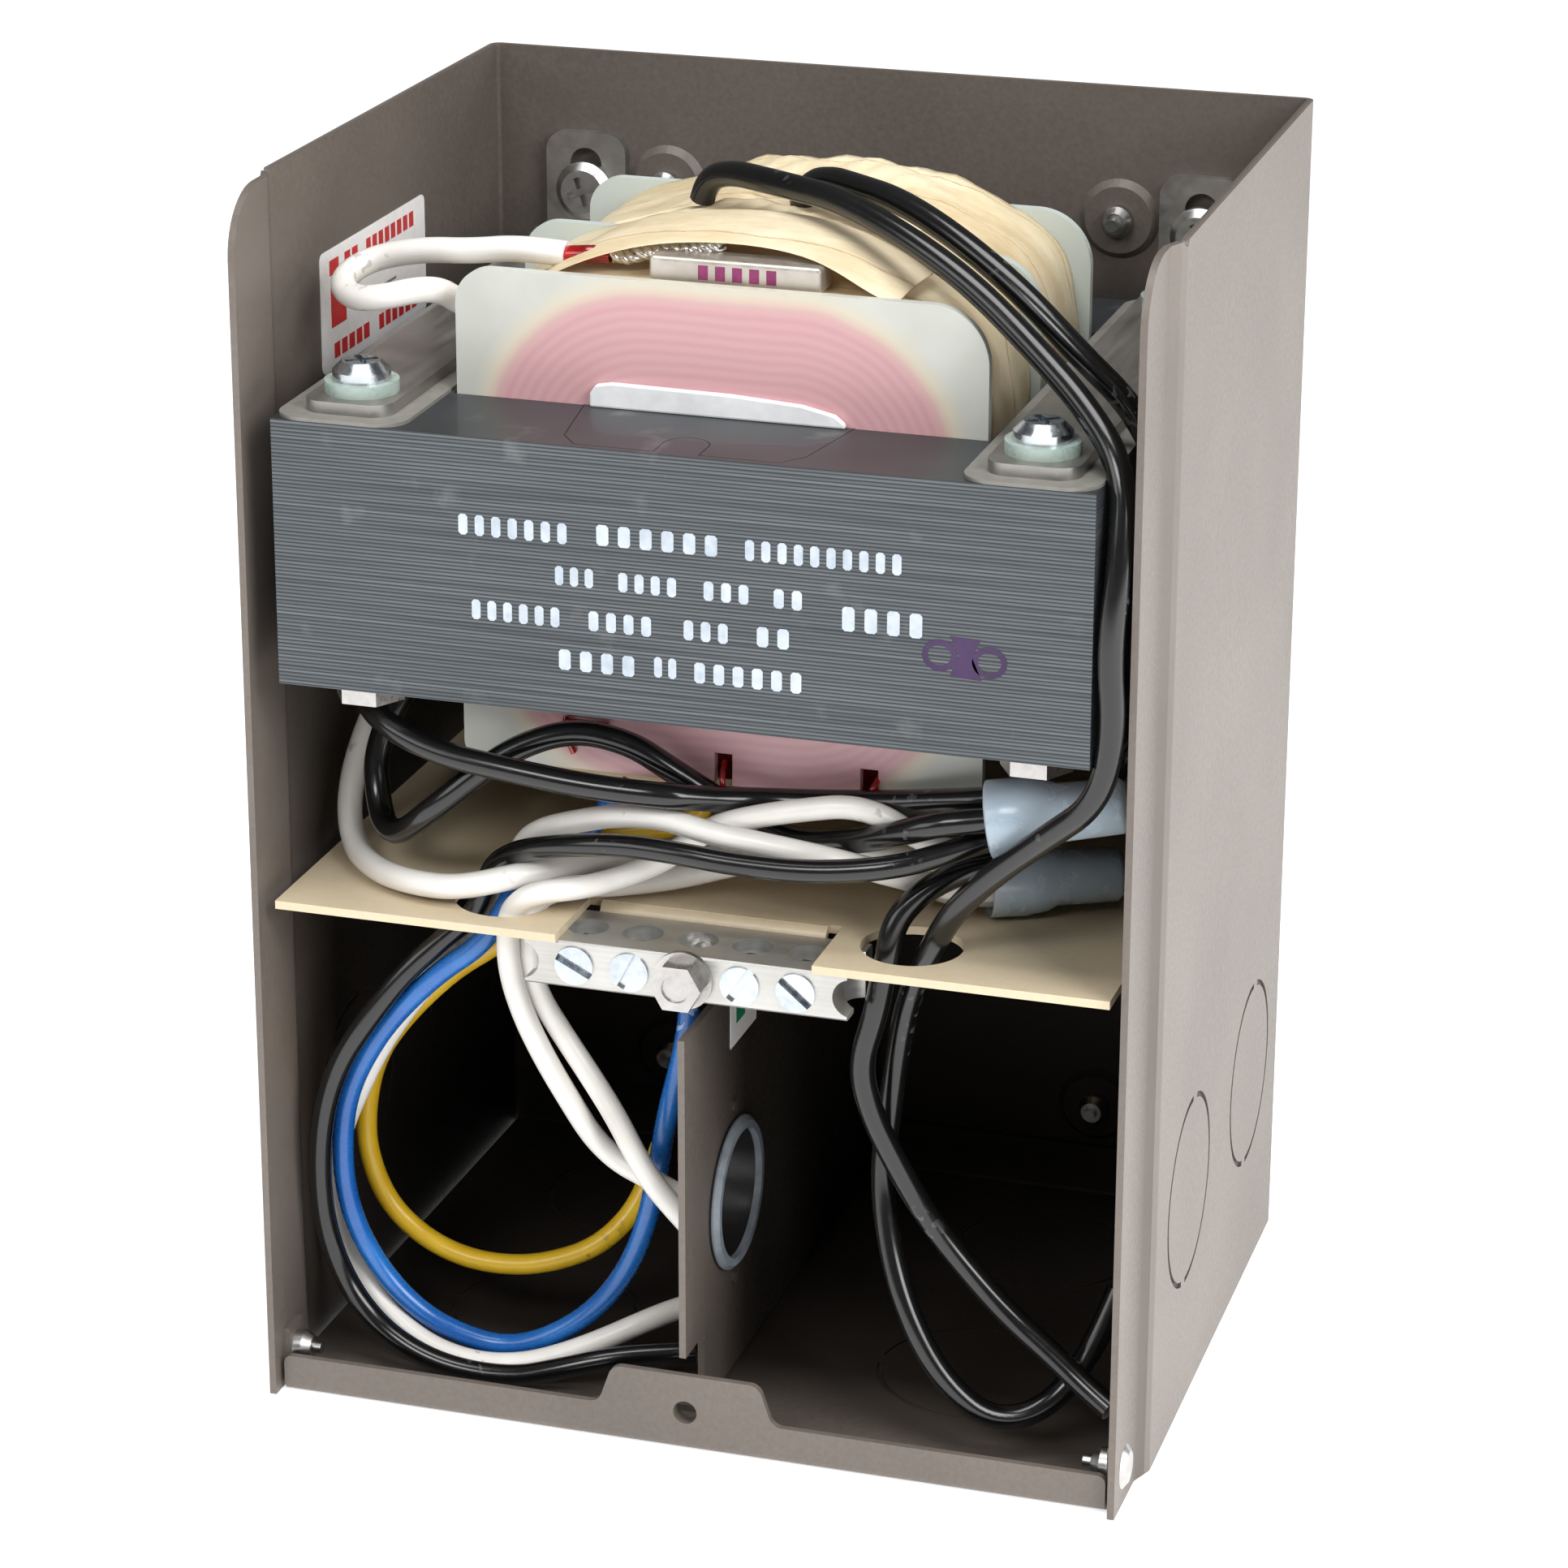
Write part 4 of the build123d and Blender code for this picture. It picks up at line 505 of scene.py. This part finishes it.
# Mesh helpers
def mesh_object(name, verts, faces, mat, smooth=False):
    """A piece from points in metres and faces."""
    mesh = bpy.data.meshes.new(name)
    mesh.from_pydata([tuple(v) for v in verts], [], faces)
    mesh.update()
    mesh.materials.append(mat)
    if smooth:
        mesh.shade_smooth()
    return add_object(name, mesh)


def rounded_box(name, low, high, edge, mat, segments=2):
    """A box with rolled edges, built in the mesh and bevelled there."""
    bm = bmesh.new()
    bmesh.ops.create_cube(bm, size=1.0)
    centre = [(a + b) / 2 for a, b in zip(low, high)]
    size = [b - a for a, b in zip(low, high)]
    for v in bm.verts:
        v.co = Vector([(c + co * s) * MM for c, co, s in zip(centre, v.co, size)])
    bmesh.ops.bevel(bm, geom=bm.edges[:], offset=edge * MM, segments=segments, affect="EDGES", profile=0.5)
    mesh = bpy.data.meshes.new(name)
    bm.to_mesh(mesh)
    bm.free()
    mesh.materials.append(mat)
    return add_object(name, mesh)


def tube_faces(rows, sides):
    """Faces of a closed tube whose points lie in rows round it, with a cap on each end."""
    faces = []
    for k in range(rows - 1):
        for i in range(sides):
            j = (i + 1) % sides
            faces.append((k * sides + i, k * sides + j, (k + 1) * sides + j, (k + 1) * sides + i))
    faces.append(tuple(range(sides))[::-1])
    faces.append(tuple((rows - 1) * sides + i for i in range(sides)))
    return faces


def revolved(name, origin, axis, profile, mat, sides=40):
    """Turns a profile of (distance along the axis, radius) in millimetres round the axis."""
    axis = Vector(axis).normalized()
    side = axis.cross(Vector((0, 0, 1))).normalized()
    other = axis.cross(side)
    verts = []
    for along, radius in profile:
        for i in range(sides):
            a = 2 * math.pi * i / sides
            p = Vector(origin) + axis * along + (side * math.cos(a) + other * math.sin(a)) * radius
            verts.append(p * MM)
    return mesh_object(name, verts, tube_faces(len(profile), sides), mat, smooth=True)


# Closed-end connectors: a wide skirt on the leads' side, a barrel and a tip
nylon = finish_of("connector_nylon", srgb(190, 204, 217), srgb(203, 214, 225), (0.22, 0.3),
                  grain=300.0, bump=0.015, coat=0.2)
nylon.set(Transmission_Weight=0.12, Subsurface_Weight=0.2)
tinned = finish_of("tinned_copper", (0.55, 0.54, 0.52, 1), (0.92, 0.91, 0.89, 1), (0.16, 0.3), metal=1.0,
                   grain=1200.0, patch=200.0, bump=0.3).mat
enamel = finish_of("red_enamel", srgb(120, 6, 10), srgb(190, 20, 22), (0.15, 0.25), metal=0.1,
                   grain=600.0, patch=200.0, bump=0.05, coat=0.7).mat

CUP = [(4.2, 4.0), (0.6, 5.0), (0.0, 5.3), (0.3, 5.5), (5.0, 5.3), (8.2, 4.7), (9.6, 4.0), (18.0, 3.8),
       (18.8, 3.1), (18.9, 0.9), (20.6, 0.8)]
LOWER_SKIRT = 5.3
upper_connector = revolved("wire_connector_upper", (40.3, -38.2, 96.7), (18.5, 3.0, 3.2), CUP, nylon.mat)
lower_connector = revolved("wire_connector_lower", (36.6, -24.4, 82.4), (0.912, 0.41, 0.0),
                           [(a, min(r, LOWER_SKIRT)) for a, r in CUP], nylon.mat)

# Twisted splice of three strands, and its red sleeve
SPLICE_AXIS = [(-17.6, -25.0, 167.3), (-15.0, -25.0, 167.2), (-12.0, -25.0, 168.1), (-9.4, -25.0, 168.6),
               (-6.4, -25.0, 168.9), (-4.0, -25.0, 169.4), (-1.6, -25.0, 169.9)]
SPLICE_STEPS, SPLICE_TURNS, STRANDS = 34, 4.2, 3
for strand in range(STRANDS):
    pts = []
    for i in range(SPLICE_STEPS):
        share = i / (SPLICE_STEPS - 1)
        t = share * (len(SPLICE_AXIS) - 1)
        k = min(int(t), len(SPLICE_AXIS) - 2)
        p = Vector(SPLICE_AXIS[k]).lerp(Vector(SPLICE_AXIS[k + 1]), t - k)
        a = share * 2 * math.pi * SPLICE_TURNS + strand * 2 * math.pi / STRANDS
        wide = 0.62 + 0.12 * math.sin(i * 1.7 + strand)
        pts.append((p.x, p.y + wide * math.cos(a), p.z + wide * math.sin(a)))
    nurbs("splice_strand_%d" % strand, pts, 0.55, tinned, 4, 3)
nurbs("red_splice_sleeve",
      [(-23.8, -25.2, 166.9), (-22.0, -25.6, 167.2), (-20.0, -25.6, 167.4), (-18.0, -25.0, 167.3)],
      1.25, enamel, 6, 4)

# Ends of magnet wire at the slots of the front flange
for i, pts in enumerate([
        [(-22.2, -32.8, 103.0), (-22.4, -33.3, 101.6), (-22.0, -33.0, 99.6), (-21.2, -32.7, 97.6)],
        [(-22.0, -33.0, 102.4), (-19.0, -33.4, 102.6), (-16.0, -32.7, 102.2)],
        [(-13.9, -32.8, 94.6), (-12.4, -33.3, 94.3), (-10.0, -33.2, 94.3), (-7.0, -33.3, 94.6),
         (-4.1, -32.8, 95.2)],
        [(-13.0, -32.8, 93.6), (-10.0, -33.2, 93.4), (-6.0, -33.1, 93.8), (-2.0, -32.8, 94.4)],
        [(0.4, -31.0, 98.2), (0.6, -33.2, 96.6), (1.0, -33.3, 94.4), (1.4, -32.6, 92.6)],
        [(7.1, -32.8, 93.6), (10.0, -33.2, 94.4), (13.5, -33.2, 95.2), (17.4, -33.2, 95.2), (20.5, -32.9, 95.0)],
        [(22.9, -31.0, 98.8), (22.6, -33.2, 97.8), (21.9, -33.4, 96.4), (21.4, -32.8, 94.6)],
        [(22.4, -31.0, 97.6), (22.9, -33.1, 96.4), (23.6, -33.3, 95.2), (23.8, -32.6, 93.8)]]):
    nurbs("magnet_wire_%d" % i, pts, 0.42, enamel, 6, 3)

# Folded film at the core window
FILM_OUTLINE = [(-18.1, 148.1), (-18.1, 150.0), (-17.2, 151.3), (-15.0, 151.7), (2.0, 151.5), (12.0, 150.9),
                (16.6, 149.9), (18.0, 148.8), (18.1, 148.1)]
verts = [mm(x, y, z) for y in (FLANGE_FACE_Y, -32.35) for x, z in FILM_OUTLINE]
count = len(FILM_OUTLINE)
faces = [tuple(range(count))[::-1], tuple(range(count, 2 * count))]
faces += [(k, (k + 1) % count, count + (k + 1) % count, count + k) for k in range(count)]
film = mesh_object("window_film", verts, faces, film_clear)
edge = film.modifiers.new("edge", "BEVEL")
edge.width = 0.3 * MM
edge.segments = 2
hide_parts("window_wedge")

# Tape over the coil, in millimetres: half width, ends of the flat height, its middle, and limits of the folds
TAPE_HALF_X, TAPE_LOW, TAPE_HIGH, TAPE_MIDDLE = 36.2, 92.9, 165.2, 129.0
TAPE_LIMIT_X, CROWN_LIMIT_Z = 36.3, 172.4
CORNER_POWER = 6.0
CROWN_RISE, CROWN_HALF, SHOULDER_RISE = 6.2, 21.0, 1.4
AROUND, ALONG = 180, 26


def smooth_step(a, b, v):
    t = max(0.0, min(1.0, (v - a) / (b - a)))
    return t * t * (3 - 2 * t)


def tape_point(a, y):
    """A point of the skin at the turn a: flat sides, a crowned top, and pleats over the crown."""
    c, s = math.cos(a), math.sin(a)
    r = 1.0 / ((abs(c) ** CORNER_POWER + abs(s) ** CORNER_POWER) ** (1 / CORNER_POWER))
    x = max(-TAPE_HALF_X, min(TAPE_HALF_X, r * c * TAPE_HALF_X))
    z = max(TAPE_LOW, min(TAPE_HIGH, TAPE_MIDDLE + r * s * (TAPE_HIGH - TAPE_LOW) / 2))
    if s > 0:
        rise = smooth_step(-24.0, -15.0, y) * math.exp(-((x - 2) / CROWN_HALF) ** 4)
        tilt = 1.0 + 0.25 * math.sin(y * 0.35 + 0.6)
        fold = 0.35 * math.sin(x * 0.42 + y * 0.55) + 0.2 * math.sin(x * 1.1 - y * 0.8)
        z += s * (CROWN_RISE * rise * (0.92 + 0.08 * tilt) + fold * rise)
        z += s * SHOULDER_RISE * smooth_step(-26.0, -12.0, y) * math.exp(-((abs(x) - 26.0) / 9.0) ** 2)
    x += 0.18 * math.sin(z * 0.5 + y * 0.7) * (1 if c > 0 else -1)
    return mm(max(-TAPE_LIMIT_X, min(TAPE_LIMIT_X, x)), y, min(z, CROWN_LIMIT_Z))


def tape_shell(name, front, rear):
    """The taped coil as one closed skin between two places in y."""
    verts = []
    for j in range(ALONG):
        y = front + (rear - front) * j / (ALONG - 1)
        verts += [tape_point(2 * math.pi * i / AROUND, y) for i in range(AROUND)]
    return mesh_object(name, verts, tube_faces(ALONG, AROUND), tape_mat, smooth=True)


front_lo, front_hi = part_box("front_tape")
rear_lo, rear_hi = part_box("rear_tape")
front_skin = tape_shell("front_tape_skin", front_lo[1] / MM, front_hi[1] / MM)
rear_skin = tape_shell("rear_tape_skin", rear_lo[1] / MM, rear_hi[1] / MM)
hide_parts("front_tape")
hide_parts("rear_tape")


def tape_flap(name, edges, thickness, arch, steps=6):
    """A loose ply of tape: a strip through given pairs of edge points, thickened."""
    verts, faces = [], []
    row = steps + 1
    for a, b in edges:
        for k in range(row):
            p = Vector(a).lerp(Vector(b), k / steps)
            verts.append((p + Vector((0, 0, arch * math.sin(math.pi * k / steps)))) * MM)
    for j in range(len(edges) - 1):
        for k in range(steps):
            faces.append((j * row + k, j * row + k + 1, (j + 1) * row + k + 1, (j + 1) * row + k))
    obj = mesh_object(name, verts, faces, tape_mat, smooth=True)
    solid = obj.modifiers.new("thick", "SOLIDIFY")
    solid.thickness = thickness * MM
    solid.offset = 1.0
    sub = obj.modifiers.new("soft", "SUBSURF")
    sub.levels = 2
    sub.render_levels = 2
    return obj


tape_flap("front_tape_lip", [
    ((-27.5, -29.6, 163.4), (-25.5, -19.0, 165.6)), ((-24.0, -30.0, 165.8), (-21.0, -18.0, 168.6)),
    ((-19.0, -29.2, 168.0), (-16.0, -17.0, 171.0)), ((-12.0, -27.6, 170.0), (-9.0, -16.0, 172.2)),
    ((-3.0, -27.2, 171.0), (-1.0, -15.0, 172.8)), ((7.0, -27.4, 170.8), (8.0, -15.0, 172.6)),
    ((14.0, -28.6, 169.4), (15.0, -16.0, 171.4)), ((19.0, -29.6, 166.8), (21.0, -18.0, 169.6)),
    ((24.0, -30.0, 164.6), (27.0, -19.0, 167.0))], 0.3, 0.5)

# Thermal cut-off, with plain marks
case = finish_of("cutoff_case", (0.42, 0.38, 0.34, 1), (0.60, 0.56, 0.50, 1), (0.3, 0.45), metal=0.7,
                 grain=500.0, patch=80.0, bump=0.2).mat
cutoff = rounded_box("thermal_cutoff_case", (-10.6, -30.0, 165.25), (13.6, -24.6, 169.0), 0.6, case, 3)
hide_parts("thermal_cutoff")
purple_print = finish_of("purple_print", srgb(110, 30, 80), srgb(140, 50, 100), (0.5, 0.6),
                         grain=800.0, patch=200.0, bump=0.05).mat
MARK_PITCH, MARK_WIDTH = 2.4, 1.4
for i in range(5):
    left = -3.6 + i * MARK_PITCH
    rounded_box("cutoff_mark_%d" % i, (left, -30.06, 166.2), (left + MARK_WIDTH, -29.95, 168.2), 0.04,
                purple_print, 1)

# Plain print on the core. Each row: left, right, foot, number of blocks, height of a block
ink = finish_of("white_ink", srgb(170, 180, 192), srgb(200, 208, 218), (0.5, 0.65),
                grain=900.0, patch=160.0).mat
ROWS = [
    (-30.9, -14.5, 134.4, 7, 2.9), (-11.5, 6.7, 134.7, 6, 2.9), (9.4, 31.8, 134.6, 10, 2.9),
    (-17.2, -10.9, 128.6, 3, 2.7), (-8.3, 0.8, 128.5, 4, 2.7), (3.6, 10.9, 128.5, 3, 2.7),
    (13.3, 18.3, 128.4, 2, 2.7),
    (-29.2, -15.7, 122.6, 6, 2.8), (-12.6, -2.7, 122.6, 4, 2.8), (0.8, 8.0, 122.7, 3, 2.8),
    (10.9, 16.6, 122.8, 2, 2.8),
    (22.6, 34.9, 126.2, 4, 3.4),
    (-17.0, -5.0, 116.7, 4, 2.9), (-3.3, 0.7, 117.0, 2, 2.9), (2.2, 18.3, 116.8, 6, 2.9)]
BLOCK_GAP, BLOCK_CUT = 0.22, 0.35
core_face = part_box("core_frame_laminations")[0][1] / MM


def on_core(x, z):
    return mm(x, core_face - PRINT_PROUD, z)


verts, faces = [], []
for x0, x1, z0, count, tall in ROWS:
    step = (x1 - x0) / count
    for i in range(count):
        a = x0 + i * step + step * BLOCK_GAP
        b = x0 + (i + 1) * step - step * BLOCK_GAP
        z1 = z0 + tall
        outline = [(a + BLOCK_CUT, z0), (b - BLOCK_CUT, z0), (b, z0 + BLOCK_CUT), (b, z1 - BLOCK_CUT),
                   (b - BLOCK_CUT, z1), (a + BLOCK_CUT, z1), (a, z1 - BLOCK_CUT), (a, z0 + BLOCK_CUT)]
        faces.append(tuple(range(len(verts), len(verts) + len(outline))))
        verts += [on_core(x, z) for x, z in outline]
mesh_object("core_print_blocks", verts, faces, ink)

# Plain stamp beside the print: two rings and a block
purple = finish_of("purple_stamp", srgb(46, 26, 62), srgb(66, 40, 84), (0.5, 0.65),
                   grain=900.0, patch=160.0).mat
RING_STEPS, RING_WIDTH = 28, 0.8
STAMP_BLOCK = ((38.0, 127.0), (42.2, 126.8), (41.0, 124.4), (42.4, 121.2), (38.0, 121.4), (39.2, 124.4))
verts, faces = [], []
for cx, cz, rx, rz in ((36.6, 124.2, 2.4, 2.2), (43.4, 123.8, 2.4, 2.2)):
    base = len(verts)
    for k in range(RING_STEPS):
        a = 2 * math.pi * k / RING_STEPS
        for inset in (0.0, RING_WIDTH):
            verts.append(on_core(cx + (rx - inset) * math.cos(a), cz + (rz - inset) * math.sin(a)))
        m = (k + 1) % RING_STEPS
        faces.append((base + 2 * k, base + 2 * m, base + 2 * m + 1, base + 2 * k + 1))
faces.append(tuple(range(len(verts), len(verts) + len(STAMP_BLOCK))))
verts += [on_core(x, z) for x, z in STAMP_BLOCK]
mesh_object("core_stamp_shape", verts, faces, purple)


# Plain labels on the left wall and the partition
def label_finish(name, dark, light, rough=(0.35, 0.45), coat=0.0):
    """Smooth printed film, near even in colour."""
    return finish_of(name, dark, light, rough, grain=900.0, bump=0.05, coat=coat).mat


label_white = label_finish("label_film", srgb(226, 224, 224), srgb(242, 240, 240), (0.28, 0.4), 0.2)
label_red = label_finish("label_red", srgb(176, 36, 40), srgb(206, 56, 56))
label_grey = label_finish("label_grey", srgb(120, 110, 110), srgb(150, 140, 140))
label_green = label_finish("label_green", srgb(20, 110, 80), srgb(40, 140, 100))


def wall_x(y):
    """The left inner wall face at a place between the back and the crease."""
    share = (BACK_Y - y) / (BACK_Y - CREASE_Y)
    return -(WALL_X_AT_BACK + WALL_SPLAY * share - SHEET)


def box_outline(y0, y1, z0, z1, corner=0.0):
    """Outline of a sheet in y and z, with its corners rounded where a radius is given."""
    if not corner:
        return [(y1, z1), (y0, z1), (y0, z0), (y1, z0)]
    pts = []
    for cy, cz, start in ((y1 - corner, z1 - corner, 0), (y0 + corner, z1 - corner, 90),
                          (y0 + corner, z0 + corner, 180), (y1 - corner, z0 + corner, 270)):
        for k in range(5):
            a = math.radians(start + 90 * k / 4)
            pts.append((cy + corner * math.cos(a), cz + corner * math.sin(a)))
    return pts


def thin_sheet(name, face_x, outline, lift, mat):
    """A thin sheet that stands off a face that looks to +X."""
    n = len(outline)
    verts = [mm(face_x(y) + off, y, z) for off in (lift, 0.01) for y, z in outline]
    faces = [tuple(range(n)), tuple(range(n, 2 * n))[::-1]]
    faces += [(k, n + k, n + (k + 1) % n, (k + 1) % n) for k in range(n)]
    return mesh_object(name, verts, faces, mat)


LABEL_BLOCKS = [(-15.5, -11.5, 158.2, 160.4), (-10.0, -4.5, 158.2, 160.4), (-2.0, 16.5, 158.2, 160.4),
                (-14.5, -1.0, 146.0, 148.2), (2.0, 17.0, 146.0, 148.2)]
BLOCK_PITCH, LINE_TALL = 2.3, 0.4
thin_sheet("left_wall_label", wall_x, box_outline(-18.5, 20.5, 144.5, 162.0, 1.2), SHEET_PROUD, label_white)
thin_sheet("label_red_field", wall_x, box_outline(-15.0, -9.6, 150.6, 156.4), MARK_PROUD, label_red)
for i, (y0, y1, z0, z1) in enumerate(LABEL_BLOCKS):
    count = max(1, int((y1 - y0) / BLOCK_PITCH))
    step = (y1 - y0) / count
    for k in range(count):
        thin_sheet("label_red_block_%d_%d" % (i, k), wall_x,
                   box_outline(y0 + k * step + 0.25, y0 + (k + 1) * step - 0.45, z0, z1), MARK_PROUD, label_red)
for i, (y0, y1, z) in enumerate([(-4.0, 12.0, 155.6), (-4.0, 9.0, 152.0)]):
    thin_sheet("label_line_%d" % i, wall_x, box_outline(y0, y1, z, z + LINE_TALL), MARK_PROUD, label_grey)


def partition_x(y):
    """The right face of the partition, the same at every y."""
    return PARTITION_FACE_X


thin_sheet("partition_sticker", partition_x, box_outline(-27.0, -15.0, 53.0, 62.0), SHEET_PROUD, label_white)
thin_sheet("sticker_green_mark", partition_x, box_outline(-24.5, -20.5, 56.0, 60.0), MARK_PROUD, label_green)

# Sheared edges inside the knockout cuts, coloured dark as painted shade in the cuts
cut_shade = finish_of("sheared_edge_and_cut_shade", srgb(46, 42, 39), srgb(62, 57, 53), (0.5, 0.7), metal=0.2,
                grain=900.0, patch=90.0).mat


def knockout_web(name, place):
    """A thin ring that closes one cut, each corner placed by a function of two radii and a depth."""
    verts, faces = [], []
    section = ((CUT_INNER, WEB_NEAR), (CUT_OUTER, WEB_NEAR), (CUT_OUTER, WEB_FAR), (CUT_INNER, WEB_FAR))
    for i in range(WEB_STEPS):
        a = 2 * math.pi * i / WEB_STEPS
        j = (i + 1) % WEB_STEPS
        for k, (radius, depth) in enumerate(section):
            verts.append(place(radius * math.cos(a), radius * math.sin(a), depth))
            m = (k + 1) % len(section)
            faces.append((4 * i + k, 4 * i + m, 4 * j + m, 4 * j + k))
    mesh_object(name, verts, faces, cut_shade)


for side, side_name in ((-1, "left"), (1, "right")):
    for y0 in (BACK_Y - back for back in WALL_KNOCKOUT_BACK):
        knockout_web("wall_knockout_web_%s_%d" % (side_name, y0),
                     lambda u, v, d: mm(side * (-wall_x(y0 + u) + d), y0 + u, WALL_KNOCKOUT_Z + v))
for x0 in FLOOR_KNOCKOUT_X:
    for y0 in (BACK_Y - back for back in FLOOR_KNOCKOUT_BACK):
        knockout_web("floor_knockout_web_%d_%d" % (x0, y0), lambda u, v, d: mm(x0 + u, y0 + v, d))

# Floor and light
floor_mesh = bpy.data.meshes.new("studio_floor")
floor_mesh.from_pydata([(-6, -4, 0), (6, -4, 0), (6, 9, 0), (-6, 9, 0)], [], [(0, 1, 2, 3)])
floor_mat = finish_of("studio_floor", (0.90, 0.90, 0.90, 1), (0.94, 0.94, 0.94, 1), (0.7, 0.8),
                      grain=20.0, patch=2.0, bump=0.0)
floor_mat.set(Emission_Color=(1, 1, 1, 1), Emission_Strength=0.5)
floor_mesh.materials.append(floor_mat.mat)
floor = bpy.data.objects.new("studio_floor", floor_mesh)
bpy.context.scene.collection.objects.link(floor)


def area_light(name, place, target, size, energy):
    """A white rectangular lamp that looks at the target."""
    data = bpy.data.lights.new(name, "AREA")
    data.shape = "RECTANGLE"
    data.size, data.size_y = size
    data.energy = energy
    lamp = bpy.data.objects.new(name, data)
    bpy.context.scene.collection.objects.link(lamp)
    lamp.location = place
    lamp.rotation_euler = (Vector(target) - Vector(place)).to_track_quat("-Z", "Y").to_euler()


area_light("key_right", (1.1, -0.7, 0.9), (0, 0, 0.09), (0.7, 0.9), 17.0)
area_light("side_right", (1.5, 0.35, 0.35), (0.06, 0, 0.09), (0.9, 0.7), 16.0)
area_light("fill_left", (-1.0, -1.1, 0.7), (0, 0, 0.09), (0.8, 0.6), 4.0)
area_light("top_soft", (0.0, -0.2, 1.4), (0, 0, 0.1), (0.9, 0.7), 13.0)
area_light("front_soft", (-0.25, -1.3, 1.1), (0, 0, 0.12), (0.6, 0.4), 7.0)

world = bpy.data.worlds.new("studio_world")
bpy.context.scene.world = world
world.use_nodes = True
background = world.node_tree.nodes["Background"].inputs
background["Color"].default_value = (1.0, 1.0, 1.0, 1.0)
background["Strength"].default_value = 0.12
bpy.context.scene.view_settings.view_transform = "Standard"
